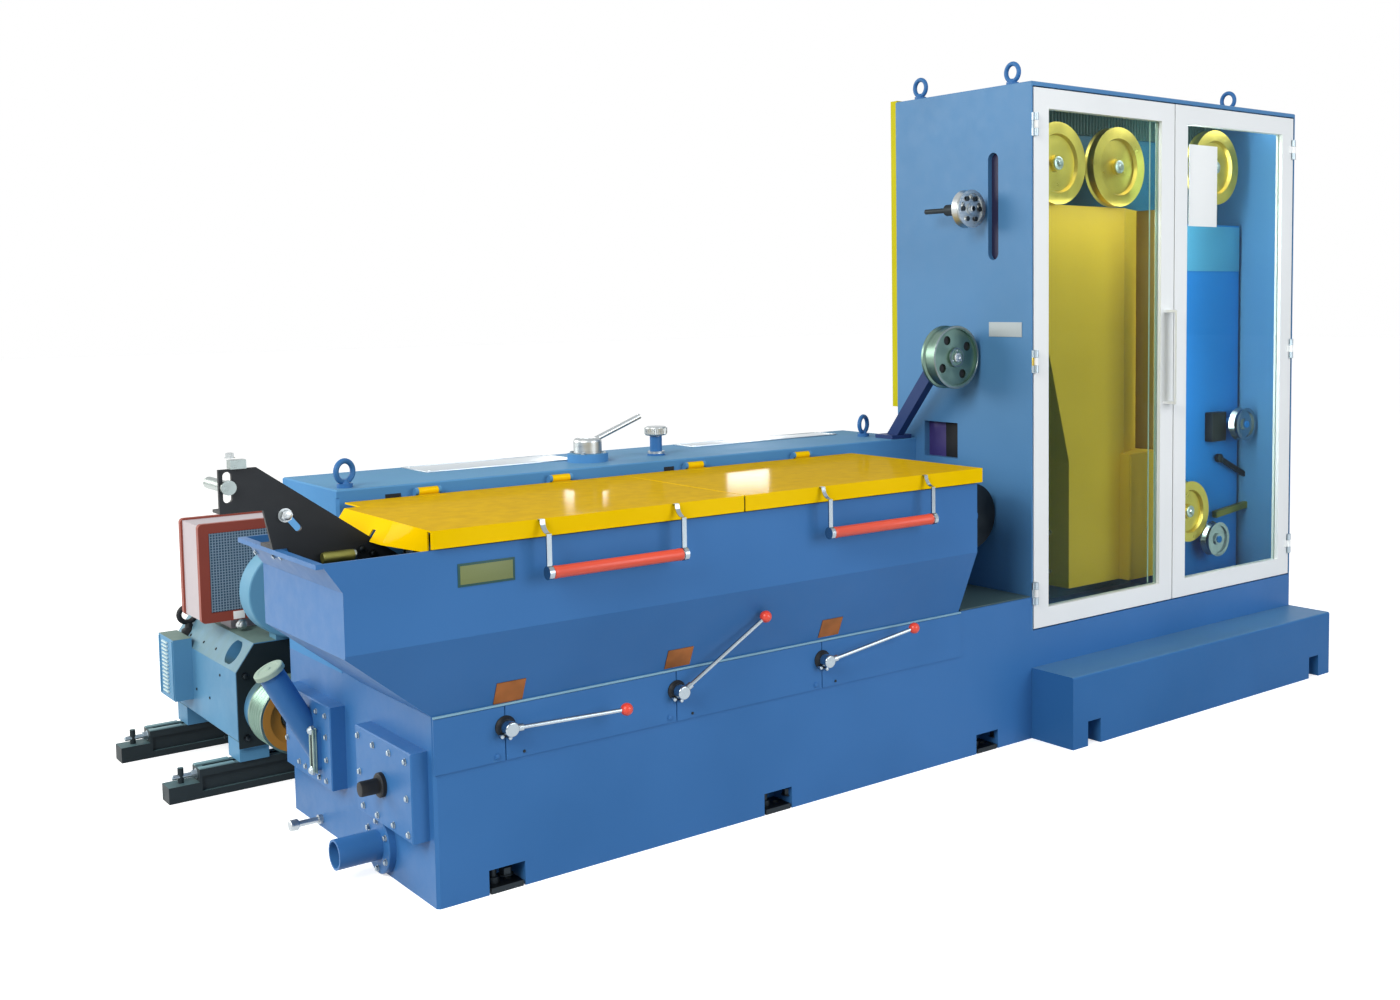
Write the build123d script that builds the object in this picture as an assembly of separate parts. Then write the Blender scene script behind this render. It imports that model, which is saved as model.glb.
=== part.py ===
from build123d import *
import math
import os

# A wire drawing machine: a drawing base with its lubricant trough, a gearbox behind the
# trough, a motor on slide rails behind the gearbox, and a glazed take-up cabinet.
# All sizes are millimetres. X runs along the machine to the right, Y runs away from the
# operator and Z is up. Places are measured from the front left corner of the base on the
# floor, and the finished pieces are then moved so that the origin lies on the floor under
# the middle of the base.

# Sheet metal and running clearances
sheet = 4.0
bearing_clearance = 0.05
hinge_clearance = 1.0
moving_clearance = 6.0

# Drawing base
base_length = 2207.0
base_depth = 1020.0
base_height = 500.0
base_edge = 8.0

# Levelling pockets along the foot of the base
pocket_width = 104.0
pocket_height = 66.0
pocket_depth = 90.0
pocket_left_margin = 195.0
pocket_right_margin = 222.0
pocket_count = 3
pad_margin = 6.0
pad_thickness = 16.0
anchor_hole_radius = 11.0
anchor_offset = 22.0
levelling_screw_radius = 10.0

# Gearbox behind the trough
gearbox_depth = 430.0
gearbox_rise = 500.0
cover_thickness = 22.0
cover_edge = 4.0

# Bolted cover plates across the front of the base
front_plate_height = 144.0
front_plate_drop = 6.0
front_plate_overhang = 8.0
front_plate_gap = 3.0

# Valve levers on the front plates
lever_shares = (0.107, 0.3945, 0.682)
lever_drop = 60.0
lever_angles = (0.0, 35.0, 11.0)
lever_length = 325.0
lever_shaft_radius = 8.0
lever_shaft_depth = 30.0
lever_hub_radius = 20.0
lever_hub_length = 44.0
lever_rod_radius = 6.0
lever_boss_radius = 10.2
lever_boss_length = 26.0
lever_rod_setback = 14.0
lever_rise = 44.0
lever_ball_radius = 17.0

# Trough: a hopper that overhangs the base at its front and its left end
trough_wall = 6.0
trough_overhang = 90.0
trough_rise = 440.0
trough_crease_rise = 213.0
trough_left_overhang = 250.0
trough_left_crease_rise = 205.0
trough_step = 130.0
trough_end_margin = 357.0
flare_height = 75.0
flare_out = 50.0
flare_rim = 12.0
wire_hole_radius = 25.0
wire_drop = 45.0
wire_y = 200.0

# Two hinged lids over the trough
lid_rise = 50.0
lid_overhang = 11.0
lid_back_gap = 30.0
lid_lip = 46.0
lid_left_overhang = 33.0
lid_right_overhang = 14.0
lid_split_share = 0.4914
lid_gap = 6.0
flap_out = 38.0
flap_drop = 56.0
flap_turn = 205.0
flap_slot_depth = 28.0
lid_rib = 18.0
lid_hinge_gap = 16.0
lid_hinge_shares = (0.1416, 0.3757, 0.6459, 0.8892)
lid_hinge_width = 60.0
lid_hinge_radius = 11.0
lid_pin_radius = 5.0
lid_ear = 8.0
lid_ear_drop = 33.0

# Lid handles: two flat hoops and a round grip
hoop_shares = ((0.1416, 0.3632), (0.6416, 0.8659))
hoop_width = 14.0
hoop_thickness = 5.0
hoop_reach = 46.0
hoop_bend = 34.0
grip_drop = 134.0
grip_radius = 15.0
hoop_eye_radius = 18.0

# Drawing capstans and die holders inside the trough
capstan_count = 5
capstan_left_margin = 250.0
capstan_right_margin = 360.0
capstan_rise = 290.0
capstan_step_shares = (0.38, 0.335, 0.29, 0.245)
capstan_flange = 6.0
capstan_step_length = 52.0
capstan_gap = 110.0
capstan_shaft_radius = 32.0
die_bar_width = 44.0
die_bar_height = 24.0
die_block_height = 92.0
die_block_depth = 70.0
die_bore_rise = 34.0
die_bore_radius = 12.0

# Panels and fittings on the left end of the base
sight_cover_thickness = 44.0
sight_cover_width = 360.0
sight_cover_margin = 75.0
sight_cover_bottom = 170.0
sight_cover_drop = 90.0
sight_glass_inset = 87.0
sight_glass_rise = 42.0
sight_glass_height = 124.0
sight_glass_width = 30.0
sight_glass_proud = 14.0
hatch_thickness = 46.0
hatch_width = 360.0
hatch_margin = 35.0
hatch_bottom = 172.0
hatch_drop = 94.0
nipple_inset = 185.0
nipple_rise = 111.0
nipple_length = 60.0
nipple_radius = 19.0
nipple_flange_radius = 31.0
drain_y = 331.0
drain_z = 84.0
drain_flange_radius = 80.0
drain_flange_thickness = 20.0
drain_radius = 41.0
drain_bore_radius = 35.0
drain_reach = 138.0
tap_inset = 209.0
tap_z = 26.0
tap_reach = 74.0
tap_stem_radius = 9.0
tap_knob_radius = 16.0
filler_inset = 160.0
filler_rise = 130.0
filler_radius = 36.0
filler_length = 226.0
filler_tilt = 62.0
filler_cap_radius = 41.0
filler_cap_height = 12.0

# Inlet guide on the left rim of the trough
bracket_thickness = 10.0
bracket_reach = 184.0
bracket_head_width = 90.0
bracket_head_height = 108.0
bracket_head_rise = 100.0
bracket_tail = 24.0
bracket_tail_drop = 60.0
bracket_foot_drop = 128.0
bracket_flange = 46.0
bracket_foot_length = 80.0
bracket_foot_thickness = 8.0
bracket_slot_length = 76.0
bracket_slot_clearance = 0.5
bracket_arm_slot_width = 18.0
bracket_arm_slot_length = 62.0
bracket_arm_slot_inset = 172.0
bracket_arm_slot_drop = 34.0
bracket_arm_slot_tilt = 52.0
roller_inset = 20.0
roller_rise = 64.0
roller_radius = 15.0
roller_pin_radius = 10.0
roller_head_radius = 18.0
roller_reach = 130.0
guide_tube_inset = 54.0
guide_tube_drop = 33.0
guide_tube_radius = 14.0
guide_tube_bore = 8.0
guide_tube_length = 86.0
clamp_width = 38.0
clamp_height = 22.0

# Pieces on top of the gearbox
shift_share = 0.4055
shift_inset = 160.0
shift_flange_radius = 66.0
shift_flange_height = 27.0
shift_dome_radius = 46.0
shift_dome_height = 50.0
shift_spindle_radius = 12.0
shift_bar_length = 215.0
shift_bar_angle = 21.0
shift_bar_radius = 9.0
breather_share = 0.5247
breather_radius = 19.0
breather_stem = 68.0
breather_cap_radius = 37.0
breather_cap_height = 30.0
eye_ring_radius = 30.0
eye_tube_radius = 8.0
eye_collar_radius = 22.0
eye_collar_height = 12.0
gearbox_eye_margins = (44.0, 115.0)
gearbox_eye_insets = (50.0, 170.0)

# Deflector sheave in front of the cabinet wall, on an arm from the gearbox
sheave_margin = 121.0
sheave_rise = 335.0
sheave_offset = 45.0
sheave_width = 64.0
sheave_radius = 111.0
sheave_rim = 12.0
sheave_web = 22.0
sheave_hub_radius = 34.0
sheave_hole_radius = 16.0
sheave_hole_circle = 70.0
sheave_hole_count = 4
axle_radius = 14.0
arm_width = 34.0
arm_depth = 46.0
arm_boss_radius = 28.5
arm_foot_inset = 0.0
arm_foot_shift = 50.0
arm_foot_length = 96.0
arm_foot_width = 96.0
arm_foot_thickness = 14.0
arm_gap = 1.0

# Small guide wheel beside the slot in the cabinet wall
guide_margin = 82.0
guide_drop = 424.0
guide_offset = 5.0
guide_width = 36.0
guide_radius = 66.0
guide_hub_radius = 20.0
guide_hole_radius = 9.0
guide_hole_circle = 42.0
guide_hole_count = 5
guide_axle_radius = 9.0
guide_axle_length = 235.0
guide_collar_radius = 20.0
guide_arm_setback = 57.0
guide_arm_thickness = 38.0

# Exit capstan between the trough and the cabinet
exit_margin = 125.0
exit_rise = 280.0
exit_offset = 32.0
exit_width = 120.0
exit_radius = 115.0
exit_axle_radius = 24.0

# Cabinet
cabinet_length = 1566.0
cabinet_depth = 691.0
cabinet_height = 2277.0
plinth_height = 382.0
cabinet_wall = 60.0
wall_flange = 5.0
roof_thickness = 15.0
step_depth = 191.0
step_height = 251.0
step_pocket_margin = 110.0
step_pocket_width = 66.0
step_pocket_height = 86.0
slot_offset = 17.0
slot_width = 50.0
slot_drop = 228.0
slot_length = 374.0
wire_opening_setback = 36.0
wire_opening_width = 176.0
wire_opening_drop = 42.0
wire_opening_height = 130.0
cabinet_back_thickness = 12.0
rear_door_depth = 34.0
rear_door_height = 1151.0
rear_door_rise = 6.0
rear_door_margin = 5.0
cabinet_eye_margins = (43.0, 273.0)
cabinet_eye_insets = (130.0, 91.0)

# Glazed doors
door_depth = 30.0
door_gap = 6.0
door_hinge_inset = 6.0
door_hinge_proud = 6.0
door_bottom_gap = 5.0
door_stile = 75.0
door_rail = 68.0
glass_thickness = 5.0
glass_edge = 9.0
glass_back = 10.0
door_hinge_margin = 126.0
door_hinge_length = 78.0
door_knuckle_radius = 8.0
door_knuckle_gap = 1.0
door_pin_radius = 4.0
handle_length = 352.0
handle_share = 0.496
handle_reach = 62.0
handle_width = 44.0
handle_bar = 9.0

# Inside the cabinet. Shares run along the cabinet's length and through its depth.
panel_share = 0.4776
panel_thickness = 12.0
upper_wheel_shares = (0.1935, 0.4106, 0.795)
upper_wheel_drops = (251.0, 248.0, 221.0)
upper_wheel_radius = 148.0
lower_wheel_share = 0.698
lower_wheel_rise = 294.0
lower_wheel_radius = 122.0
brass_share = 0.217
brass_width = 44.0
brass_dish_depth = 14.0
brass_hub_radius = 30.0
chrome_wheel_margins = (141.0, 323.0)
chrome_wheel_rises = (628.0, 168.0)
chrome_wheel_radii = (68.0, 70.0)
chrome_share = 0.171
chrome_width = 40.0
cover_share = 0.2967
cover_drop = 396.0
cover_left_margin = 90.0
cover_right_share = 0.599
cover_waist_share = 0.2714
cover_waist_step = 122.0
cover_waist_shares = (0.2887, 0.5282, 0.676)
cover_bottom_gap = 62.0
cover_fold_width = 196.0
cover_fold_depth = 90.0
cover_edge_width = 16.0
side_box_margin = 19.0
side_box_width = 200.0
side_box_height = 491.0
side_box_share = 0.2287
housing_gap = 7.0
housing_margin = 83.0
housing_drop = 447.0

# Motor on its slide rails
motor_x = 45.0
motor_gap = 262.0
motor_length = 658.0
motor_half_width = 125.0
motor_z = 259.0
motor_half_height = 125.0
motor_chamfer = 30.0
motor_bell_radius = 104.0
motor_bell_length = 46.0
hood_top = 470.0
hood_half_width = 66.0
motor_port_setback = 118.0
motor_port_radius = 40.0
motor_port_depth = 60.0
rail_half_length = 332.0
rail_setbacks = (18.0, 568.0)
rail_width = 74.0
rail_height = 92.0
rail_nose = 92.0
rail_nose_height = 52.0
jack_screw_radius = 9.0
foot_width = 92.0
foot_length = 110.0
foot_inset = 6.0
terminal_box_setback = 453.0
terminal_box_length = 168.0
terminal_box_bottom = 208.0
terminal_box_height = 210.0
terminal_box_depth = 60.0
motor_eye_setback = 570.0
pulley_gap = 72.0
pulley_width = 120.0
pulley_radius = 115.0
pulley_groove = 8.0
pulley_groove_count = 5
pulley_dish_radius = 84.0
pulley_dish_depth = 24.0
motor_shaft_radius = 26.0
blower_offset = 65.0
blower_z = 625.0
blower_overhang = 32.0
blower_width = 95.0
blower_radius = 150.0
blower_duct = 60.0
blower_inlet_radius = 90.0
filter_left = -112.0
filter_width = 320.0
filter_setback = 218.0
filter_depth = 212.0
filter_bottom = 508.0
filter_height = 326.0
filter_frame = 32.0
filter_frame_depth = 22.0
filter_step = 6.0
filter_foot_half_width = 50.0
filter_foot_margin = 30.0

# Levels and places worked out from the sizes above
gearbox_front = base_depth - gearbox_depth
gearbox_height = base_height + gearbox_rise
cover_level = gearbox_height + cover_thickness
trough_front = -trough_overhang
trough_top = base_height + trough_rise
trough_crease = base_height + trough_crease_rise
trough_left = -trough_left_overhang
trough_left_crease = base_height + trough_left_crease_rise
trough_left_back = gearbox_front - trough_step
trough_right = base_length - trough_end_margin
flare_bottom = trough_top - flare_height
wire_height = trough_top - wire_drop
pocket_pitch = (base_length - pocket_left_margin - pocket_right_margin) / (pocket_count - 1)
pocket_places = [pocket_left_margin + pocket_pitch * index for index in range(pocket_count)]
front_plate_top = base_height - front_plate_drop
front_plate_bottom = front_plate_top - front_plate_height
front_plate_right = trough_right + front_plate_overhang
lever_places = [share * trough_right for share in lever_shares]
lever_height = base_height - lever_drop
lid_top = trough_top + lid_rise
lid_front = trough_front - lid_overhang
lid_back = gearbox_front - lid_back_gap
lid_lip_bottom = lid_top - lid_lip
lid_left_end = -lid_left_overhang
lid_split = lid_split_share * trough_right
lid_right_end = trough_right + lid_right_overhang
flap_bottom = lid_top - flap_drop
flap_turn_y = trough_front + flap_turn
flap_slot_top = lid_top - flap_slot_depth
lid_hinge_y = gearbox_front - lid_hinge_gap
lid_hinge_z = gearbox_height
lid_hinge_places = [share * trough_right for share in lid_hinge_shares]
hoop_places = [[share * trough_right for share in pair] for pair in hoop_shares]
grip_height = lid_top - grip_drop
capstan_height = base_height + capstan_rise
capstan_pitch = (trough_right - capstan_left_margin - capstan_right_margin) / (capstan_count - 1)
capstan_places = [capstan_left_margin + capstan_pitch * index for index in range(capstan_count)]
capstan_back = gearbox_front - capstan_gap
capstan_steps = [share * capstan_pitch for share in capstan_step_shares]
sight_cover_back = base_depth - sight_cover_margin
sight_cover_front = sight_cover_back - sight_cover_width
hatch_back = hatch_margin + hatch_width
bracket_y = wire_y
bracket_head_left = trough_left - bracket_reach
bracket_head_right = bracket_head_left + bracket_head_width
bracket_head_bottom = trough_top + bracket_head_rise
bracket_head_top = bracket_head_bottom + bracket_head_height
roller_x = bracket_head_left + roller_inset
roller_z = bracket_head_bottom + roller_rise
guide_tube_left = trough_left + guide_tube_inset
guide_tube_z = trough_top - guide_tube_drop
shift_x = shift_share * base_length
shift_y = gearbox_front + shift_inset
breather_x = breather_share * base_length
gearbox_eyes = ((gearbox_eye_margins[0], gearbox_front + gearbox_eye_insets[0]),
                (base_length - gearbox_eye_margins[1], gearbox_front + gearbox_eye_insets[1]))
sheave_x = base_length - sheave_margin
sheave_z = gearbox_height + sheave_rise
sheave_front = wire_y + sheave_offset
arm_foot_front = gearbox_front + arm_foot_inset
guide_x = base_length - guide_margin
guide_z = cabinet_height - guide_drop
guide_front = wire_y + guide_offset
exit_x = base_length - exit_margin
exit_z = base_height + exit_rise
exit_front = wire_y - exit_offset
cabinet_left = base_length
cabinet_right = cabinet_left + cabinet_length
roof_bottom = cabinet_height - roof_thickness
slot_y = wire_y - slot_offset
slot_top = cabinet_height - slot_drop
slot_bottom = slot_top - slot_length
panel_front = panel_share * cabinet_depth
wire_opening_front = panel_front + wire_opening_setback
wire_opening_bottom = gearbox_height - wire_opening_drop
cabinet_eyes_x = (cabinet_left + cabinet_eye_margins[0], cabinet_right - cabinet_eye_margins[1])
cabinet_eyes_y = (cabinet_eye_insets[0], cabinet_depth - cabinet_eye_insets[1])
brass_front = brass_share * cabinet_depth
chrome_front = chrome_share * cabinet_depth
cover_front = cover_share * cabinet_depth
brass_wheels = [(cabinet_left + share * cabinet_length, cabinet_height - drop, upper_wheel_radius)
                for share, drop in zip(upper_wheel_shares, upper_wheel_drops)]
brass_wheels.append((cabinet_left + lower_wheel_share * cabinet_length, plinth_height + lower_wheel_rise,
                     lower_wheel_radius))
chrome_sizes = zip(chrome_wheel_margins, chrome_wheel_rises, chrome_wheel_radii)
chrome_wheels = [(cabinet_right - margin, plinth_height + rise, radius)
                 for margin, rise, radius in chrome_sizes]
cover_top = cabinet_height - cover_drop
cover_right = cabinet_left + cover_right_share * cabinet_length
housing_left = cover_right + housing_gap
housing_right = cabinet_right - housing_margin
housing_top = cabinet_height - housing_drop
motor_front = base_depth + motor_gap
motor_back = motor_front + motor_length
rail_fronts = [motor_front + setback for setback in rail_setbacks]
pulley_front = base_depth + pulley_gap
blower_x = motor_x + blower_offset
blower_front = motor_front - blower_overhang
blower_back = blower_front + blower_width
filter_right = filter_left + filter_width
filter_front = motor_front + filter_setback
filter_back = filter_front + filter_depth
filter_top = filter_bottom + filter_height


def block(x0, x1, y0, y1, z0, z1):
    """A box between two corners."""
    centre = Location(((x0 + x1) / 2, (y0 + y1) / 2, (z0 + z1) / 2))
    return centre * Box(x1 - x0, y1 - y0, z1 - z0)


def rod_x(y, z, radius, x0, x1):
    """A round bar along X."""
    return Location(((x0 + x1) / 2, y, z), (0, 90, 0)) * Cylinder(radius, x1 - x0)


def rod_y(x, z, radius, y0, y1):
    """A round bar along Y."""
    return Location((x, (y0 + y1) / 2, z), (90, 0, 0)) * Cylinder(radius, y1 - y0)


def rod_z(x, y, radius, z0, z1):
    """A round bar along Z."""
    return Location((x, y, (z0 + z1) / 2)) * Cylinder(radius, z1 - z0)


def outline(points):
    """A flat closed outline."""
    return make_face(Polyline(*points, close=True))


def prism_y(face, y0, y1):
    """An outline in X and Z, drawn out along Y."""
    return extrude(Plane.XZ.offset(-y1) * face, amount=y1 - y0)


def prism_x(face, x0, x1):
    """An outline in Y and Z, drawn out along X."""
    return extrude(Plane.YZ.offset(x0) * face, amount=x1 - x0)


def wheel_y(x, z, profile, front):
    """A turned wheel on an axis along Y, from a profile of (radius, distance from its front)."""
    face = outline([(radius, depth) for radius, depth in profile])
    turned = revolve(Plane.XY * face, axis=Axis.Y)
    return Location((x, front, z)) * turned


def ring_of_holes_y(x, z, circle, radius, count, y0, y1, start):
    """Round holes on a circle about an axis along Y."""
    holes = []
    for index in range(count):
        angle = math.radians(start + 360.0 * index / count)
        holes.append(rod_y(x + circle * math.cos(angle), z + circle * math.sin(angle), radius, y0, y1))
    return holes


def lifting_eye(x, y, z, turn):
    """A lifting eye that stands on a face: a collar, a short neck and a ring."""
    ring_height = eye_collar_height + eye_ring_radius + eye_tube_radius - 4.0
    ring = Location((0, 0, ring_height), (90, 0, 0)) * Torus(eye_ring_radius, eye_tube_radius)
    collar = rod_z(0, 0, eye_collar_radius, 0, eye_collar_height)
    neck = Location((0, 0, eye_collar_height)) * Cone(14.0, 9.0, 12.0, align=upright)
    return Location((x, y, z), (0, 0, turn)) * (collar + neck + ring)


upright = (Align.CENTER, Align.CENTER, Align.MIN)
origin_shift = Location((-base_length / 2, -base_depth / 2, 0))

os.makedirs("parts", exist_ok=True)


def save(name, *solids):
    """Write one piece, or a few separate pieces of one kind, as a STEP file."""
    pieces = [origin_shift * solid for solid in solids]
    shape = pieces[0] if len(pieces) == 1 else Compound(children=pieces)
    export_step(shape, "parts/" + name + ".step")


# Base frame

def base_frame():
    """The floor-standing casting with pockets for its levelling feet."""
    body = block(0, base_length, 0, base_depth, 0, base_height)
    body = chamfer(body.edges().filter_by(Axis.Z).group_by(Axis.X)[0], base_edge)
    for x in pocket_places:
        half = pocket_width / 2
        body -= block(x - half, x + half, -1, pocket_depth, -1, pocket_height)
        body -= block(x - half, x + half, base_depth - pocket_depth, base_depth + 1, -1, pocket_height)
    for x in lever_places:
        hole = lever_shaft_radius + bearing_clearance
        body -= rod_y(x, lever_height, hole, -1, lever_shaft_depth + 1)
    return body


def levelling_foot(x, outer_y, inward):
    """A pad with an anchor hole and a screw up to the pocket's ceiling."""
    half = pocket_width / 2 - pad_margin
    y0, y1 = sorted((outer_y, outer_y + inward * (pocket_depth - pad_margin)))
    middle = (y0 + y1) / 2
    pad = block(x - half, x + half, y0, y1, 0, pad_thickness)
    pad += rod_z(x - anchor_offset, middle, levelling_screw_radius, pad_thickness, pocket_height)
    pad += rod_z(x - anchor_offset, middle, 1.7 * levelling_screw_radius, pad_thickness, 2 * pad_thickness)
    pad -= rod_z(x + anchor_offset, middle, anchor_hole_radius, -1, pad_thickness + 1)
    return pad


save("base_frame", base_frame())
feet = []
for foot_x in pocket_places:
    feet.append(levelling_foot(foot_x, 0.0, 1))
    feet.append(levelling_foot(foot_x, base_depth, -1))
save("levelling_feet", *feet)


# Gearbox housing, its cover and the hinge ears for the lids

def gearbox_housing():
    """The upright gear case behind the trough, with the fixed halves of the lid hinges."""
    body = block(0, base_length, gearbox_front, base_depth, base_height, gearbox_height)
    body = chamfer(body.edges().filter_by(Axis.Z).group_by(Axis.X)[0], base_edge)
    for x in lid_hinge_places:
        inner = lid_hinge_width / 2 + hinge_clearance
        for side in (-1, 1):
            near, far = sorted((x + side * inner, x + side * (inner + lid_ear)))
            ear = rod_x(lid_hinge_y, lid_hinge_z, lid_hinge_radius, near, far)
            ear += block(near, far, lid_hinge_y, gearbox_front + 1, lid_hinge_z - lid_ear_drop, lid_hinge_z)
            body += ear
        body += rod_x(lid_hinge_y, lid_hinge_z, lid_pin_radius, x - inner - lid_ear, x + inner + lid_ear)
    return body


def gearbox_cover():
    """The flat cover bolted over the gear case."""
    plate = block(0, base_length, gearbox_front, base_depth, gearbox_height, cover_level)
    return chamfer(plate.faces().sort_by(Axis.Z)[-1].edges(), cover_edge)


save("gearbox_housing", gearbox_housing())
save("gearbox_cover", gearbox_cover())


# Front cover plates and valve levers

def front_cover_plates():
    """Flat plates in a row, split below each lever, with a hole for each lever's shaft."""
    edges = [0.0] + lever_places + [front_plate_right]
    plates = []
    for left, right in zip(edges[:-1], edges[1:]):
        x0 = left + (front_plate_gap / 2 if left > 0 else 0)
        x1 = right - (front_plate_gap / 2 if right < front_plate_right else 0)
        plate = block(x0, x1, -sheet, 0, front_plate_bottom, front_plate_top)
        for x in lever_places:
            plate -= rod_y(x, lever_height, lever_shaft_radius + 1.0, -sheet - 1, 1)
        plates.append(plate)
    return plates


def valve_lever(x, angle):
    """A chromed hub with a shaft into the base, a rod that leans outwards and a ball."""
    back = -sheet - hinge_clearance
    front = back - lever_hub_length
    hub = rod_y(x, lever_height, lever_hub_radius, front, back)
    hub = fillet(hub.edges().filter_by(GeomType.CIRCLE).group_by(Axis.Y)[0], 5.0)
    shaft = rod_y(x, lever_height, lever_shaft_radius, back, lever_shaft_depth)
    lean = math.degrees(math.asin(lever_rise / lever_length))
    rod = Rotation(0, 90, 0) * Cylinder(lever_rod_radius, lever_length, align=upright)
    ball = Location((lever_length, 0, 0)) * Sphere(lever_ball_radius)
    boss = Location((lever_hub_radius, 0, 0), (0, 90, 0)) * Cylinder(lever_boss_radius, lever_boss_length)
    arm = Rotation(0, 0, -lean) * (rod + ball + boss)
    return hub + shaft + Location((x, front + lever_rod_setback, lever_height), (0, -angle, 0)) * arm


save("front_cover_plates", *front_cover_plates())
for number, (place, angle) in enumerate(zip(lever_places, lever_angles), start=1):
    save("valve_lever_" + str(number), valve_lever(place, angle))


# Trough

def trough_space(inset, above):
    """The hopper's outline, drawn in by a sheet thickness and run on past its open sides."""
    top = trough_top + above
    back = gearbox_front + above
    slope = flare_out / (trough_top - flare_bottom)
    end_section = offset(outline([
        (trough_front, top), (trough_front, trough_crease), (0, base_height),
        (back, base_height), (back, top)]), amount=-inset, kind=Kind.INTERSECTION)
    side_section = offset(outline([
        (trough_left - flare_out - slope * above, top), (trough_left, flare_bottom),
        (trough_left, trough_left_crease), (0, base_height),
        (trough_right, base_height), (trough_right, top)]), amount=-inset, kind=Kind.INTERSECTION)
    along = prism_x(end_section, trough_left - 200, trough_right + 10)
    across = prism_y(side_section, trough_front - 10, back + 10)
    space = along & across
    corner = block(trough_left - 300, inset, trough_left_back - inset, back + 20, base_height - 10, top + 10)
    return space - corner


def trough():
    """The welded hopper: sloping lower faces, a flared left end and an open back."""
    inside_rise = 60.0
    shell = trough_space(0, 0) - trough_space(trough_wall, inside_rise)
    rim = block(trough_left - flare_out - flare_rim, trough_left - flare_out + trough_wall,
                trough_front, trough_left_back, trough_top - flare_rim, trough_top)
    shell += rim
    return shell - rod_x(wire_y, wire_height, wire_hole_radius, trough_right - 20, trough_right + 20)


save("trough", trough())


# Capstans and die holders in the trough

def step_capstan(x):
    """A stepped drawing capstan on a shaft from the gear case."""
    y = capstan_back
    body = rod_y(x, capstan_height, capstan_shaft_radius, capstan_back, gearbox_front)
    for radius in capstan_steps:
        body += rod_y(x, capstan_height, radius, y - capstan_step_length, y)
        body += rod_y(x, capstan_height, radius + capstan_flange, y - capstan_flange, y)
        y -= capstan_step_length
    return body


def die_holder(x):
    """A bar from the gear case with an upright die block at its end."""
    front = capstan_back - capstan_step_length * len(capstan_steps)
    half = die_bar_width / 2
    bar = block(x - half, x + half, front, gearbox_front, capstan_height - die_bar_height, capstan_height)
    die = block(x - half, x + half, front - die_block_depth, front,
                capstan_height - die_bar_height, capstan_height + die_block_height - die_bar_height)
    die = fillet(die.edges().filter_by(Axis.Y).group_by(Axis.Z)[-1], 8.0)
    bore_y = front - die_block_depth / 2
    bore = rod_x(bore_y, capstan_height + die_bore_rise, die_bore_radius, x - half - 1, x + half + 1)
    return bar + die - bore


save("drawing_capstans", *[step_capstan(x) for x in capstan_places])
save("die_holders", *[die_holder(x + capstan_pitch / 2) for x in capstan_places])


# Lids and their handles

def lid_knuckle(x):
    """The moving half of a hinge: a tab on the lid and a bored knuckle."""
    half = lid_hinge_width / 2
    tab = block(x - half, x + half, lid_back - 40.0, lid_hinge_y, lid_top - sheet, lid_top + 1.0)
    knuckle = rod_x(lid_hinge_y, lid_hinge_z, lid_hinge_radius, x - half, x + half)
    bore = rod_x(lid_hinge_y, lid_hinge_z, lid_pin_radius + 2 * bearing_clearance, x - half - 1, x + half + 1)
    return tab + knuckle - bore


def lid(x0, x1, hinges):
    """A pressed lid: a flat sheet, a front lip and ribs underneath."""
    body = block(x0, x1, lid_front, lid_back, lid_top - sheet, lid_top)
    body += block(x0, x1, lid_front, lid_front + sheet, lid_lip_bottom, lid_top)
    for x in (x0 + 0.28 * (x1 - x0), x0 + 0.72 * (x1 - x0)):
        body += block(x - lid_rib / 2, x + lid_rib / 2, lid_front + 60, lid_back - 30,
                      lid_top - sheet - lid_rib, lid_top - sheet)
    for x in hinges:
        body += lid_knuckle(x)
    return body


def end_flap():
    """The flap that drops into the left end of the trough, with a turned front corner."""
    x = lid_left_end
    front = trough_front + trough_wall + moving_clearance
    back = trough_left_back - trough_wall - moving_clearance
    toe = x - flap_out
    leaning = [(x, lid_top), (toe, flap_bottom), (toe + sheet, flap_bottom), (x + sheet, lid_top)]
    straight = [(x, lid_top), (x, flap_bottom), (x + sheet, flap_bottom), (x + sheet, lid_top)]
    rear = prism_y(outline(leaning), flap_turn_y, back)
    first = Plane.XZ.offset(-front) * outline(straight)
    last = Plane.XZ.offset(-flap_turn_y) * outline(leaning)
    corner = loft([first, last], ruled=True)
    half = bracket_thickness / 2 + moving_clearance
    slot = block(toe - 5, x + sheet + 5, bracket_y - half, bracket_y + half, flap_bottom - 5, flap_slot_top)
    return rear + corner - slot


def lid_left():
    """The left lid, cut back where the trough narrows, with its end flap."""
    body = lid(lid_left_end, lid_split - lid_gap / 2, lid_hinge_places[:2])
    cut_back = trough_left_back - trough_wall - moving_clearance
    body -= block(lid_left_end - 1, trough_wall + moving_clearance, cut_back, lid_back + 1,
                  lid_top - 2 * lid_lip, lid_top + 1)
    return body + end_flap()


def lid_right():
    """The right lid with a lip over the right end of the trough."""
    body = lid(lid_split + lid_gap / 2, lid_right_end, lid_hinge_places[2:])
    return body + block(lid_right_end - sheet, lid_right_end, lid_front, lid_back, lid_lip_bottom, lid_top)


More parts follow.
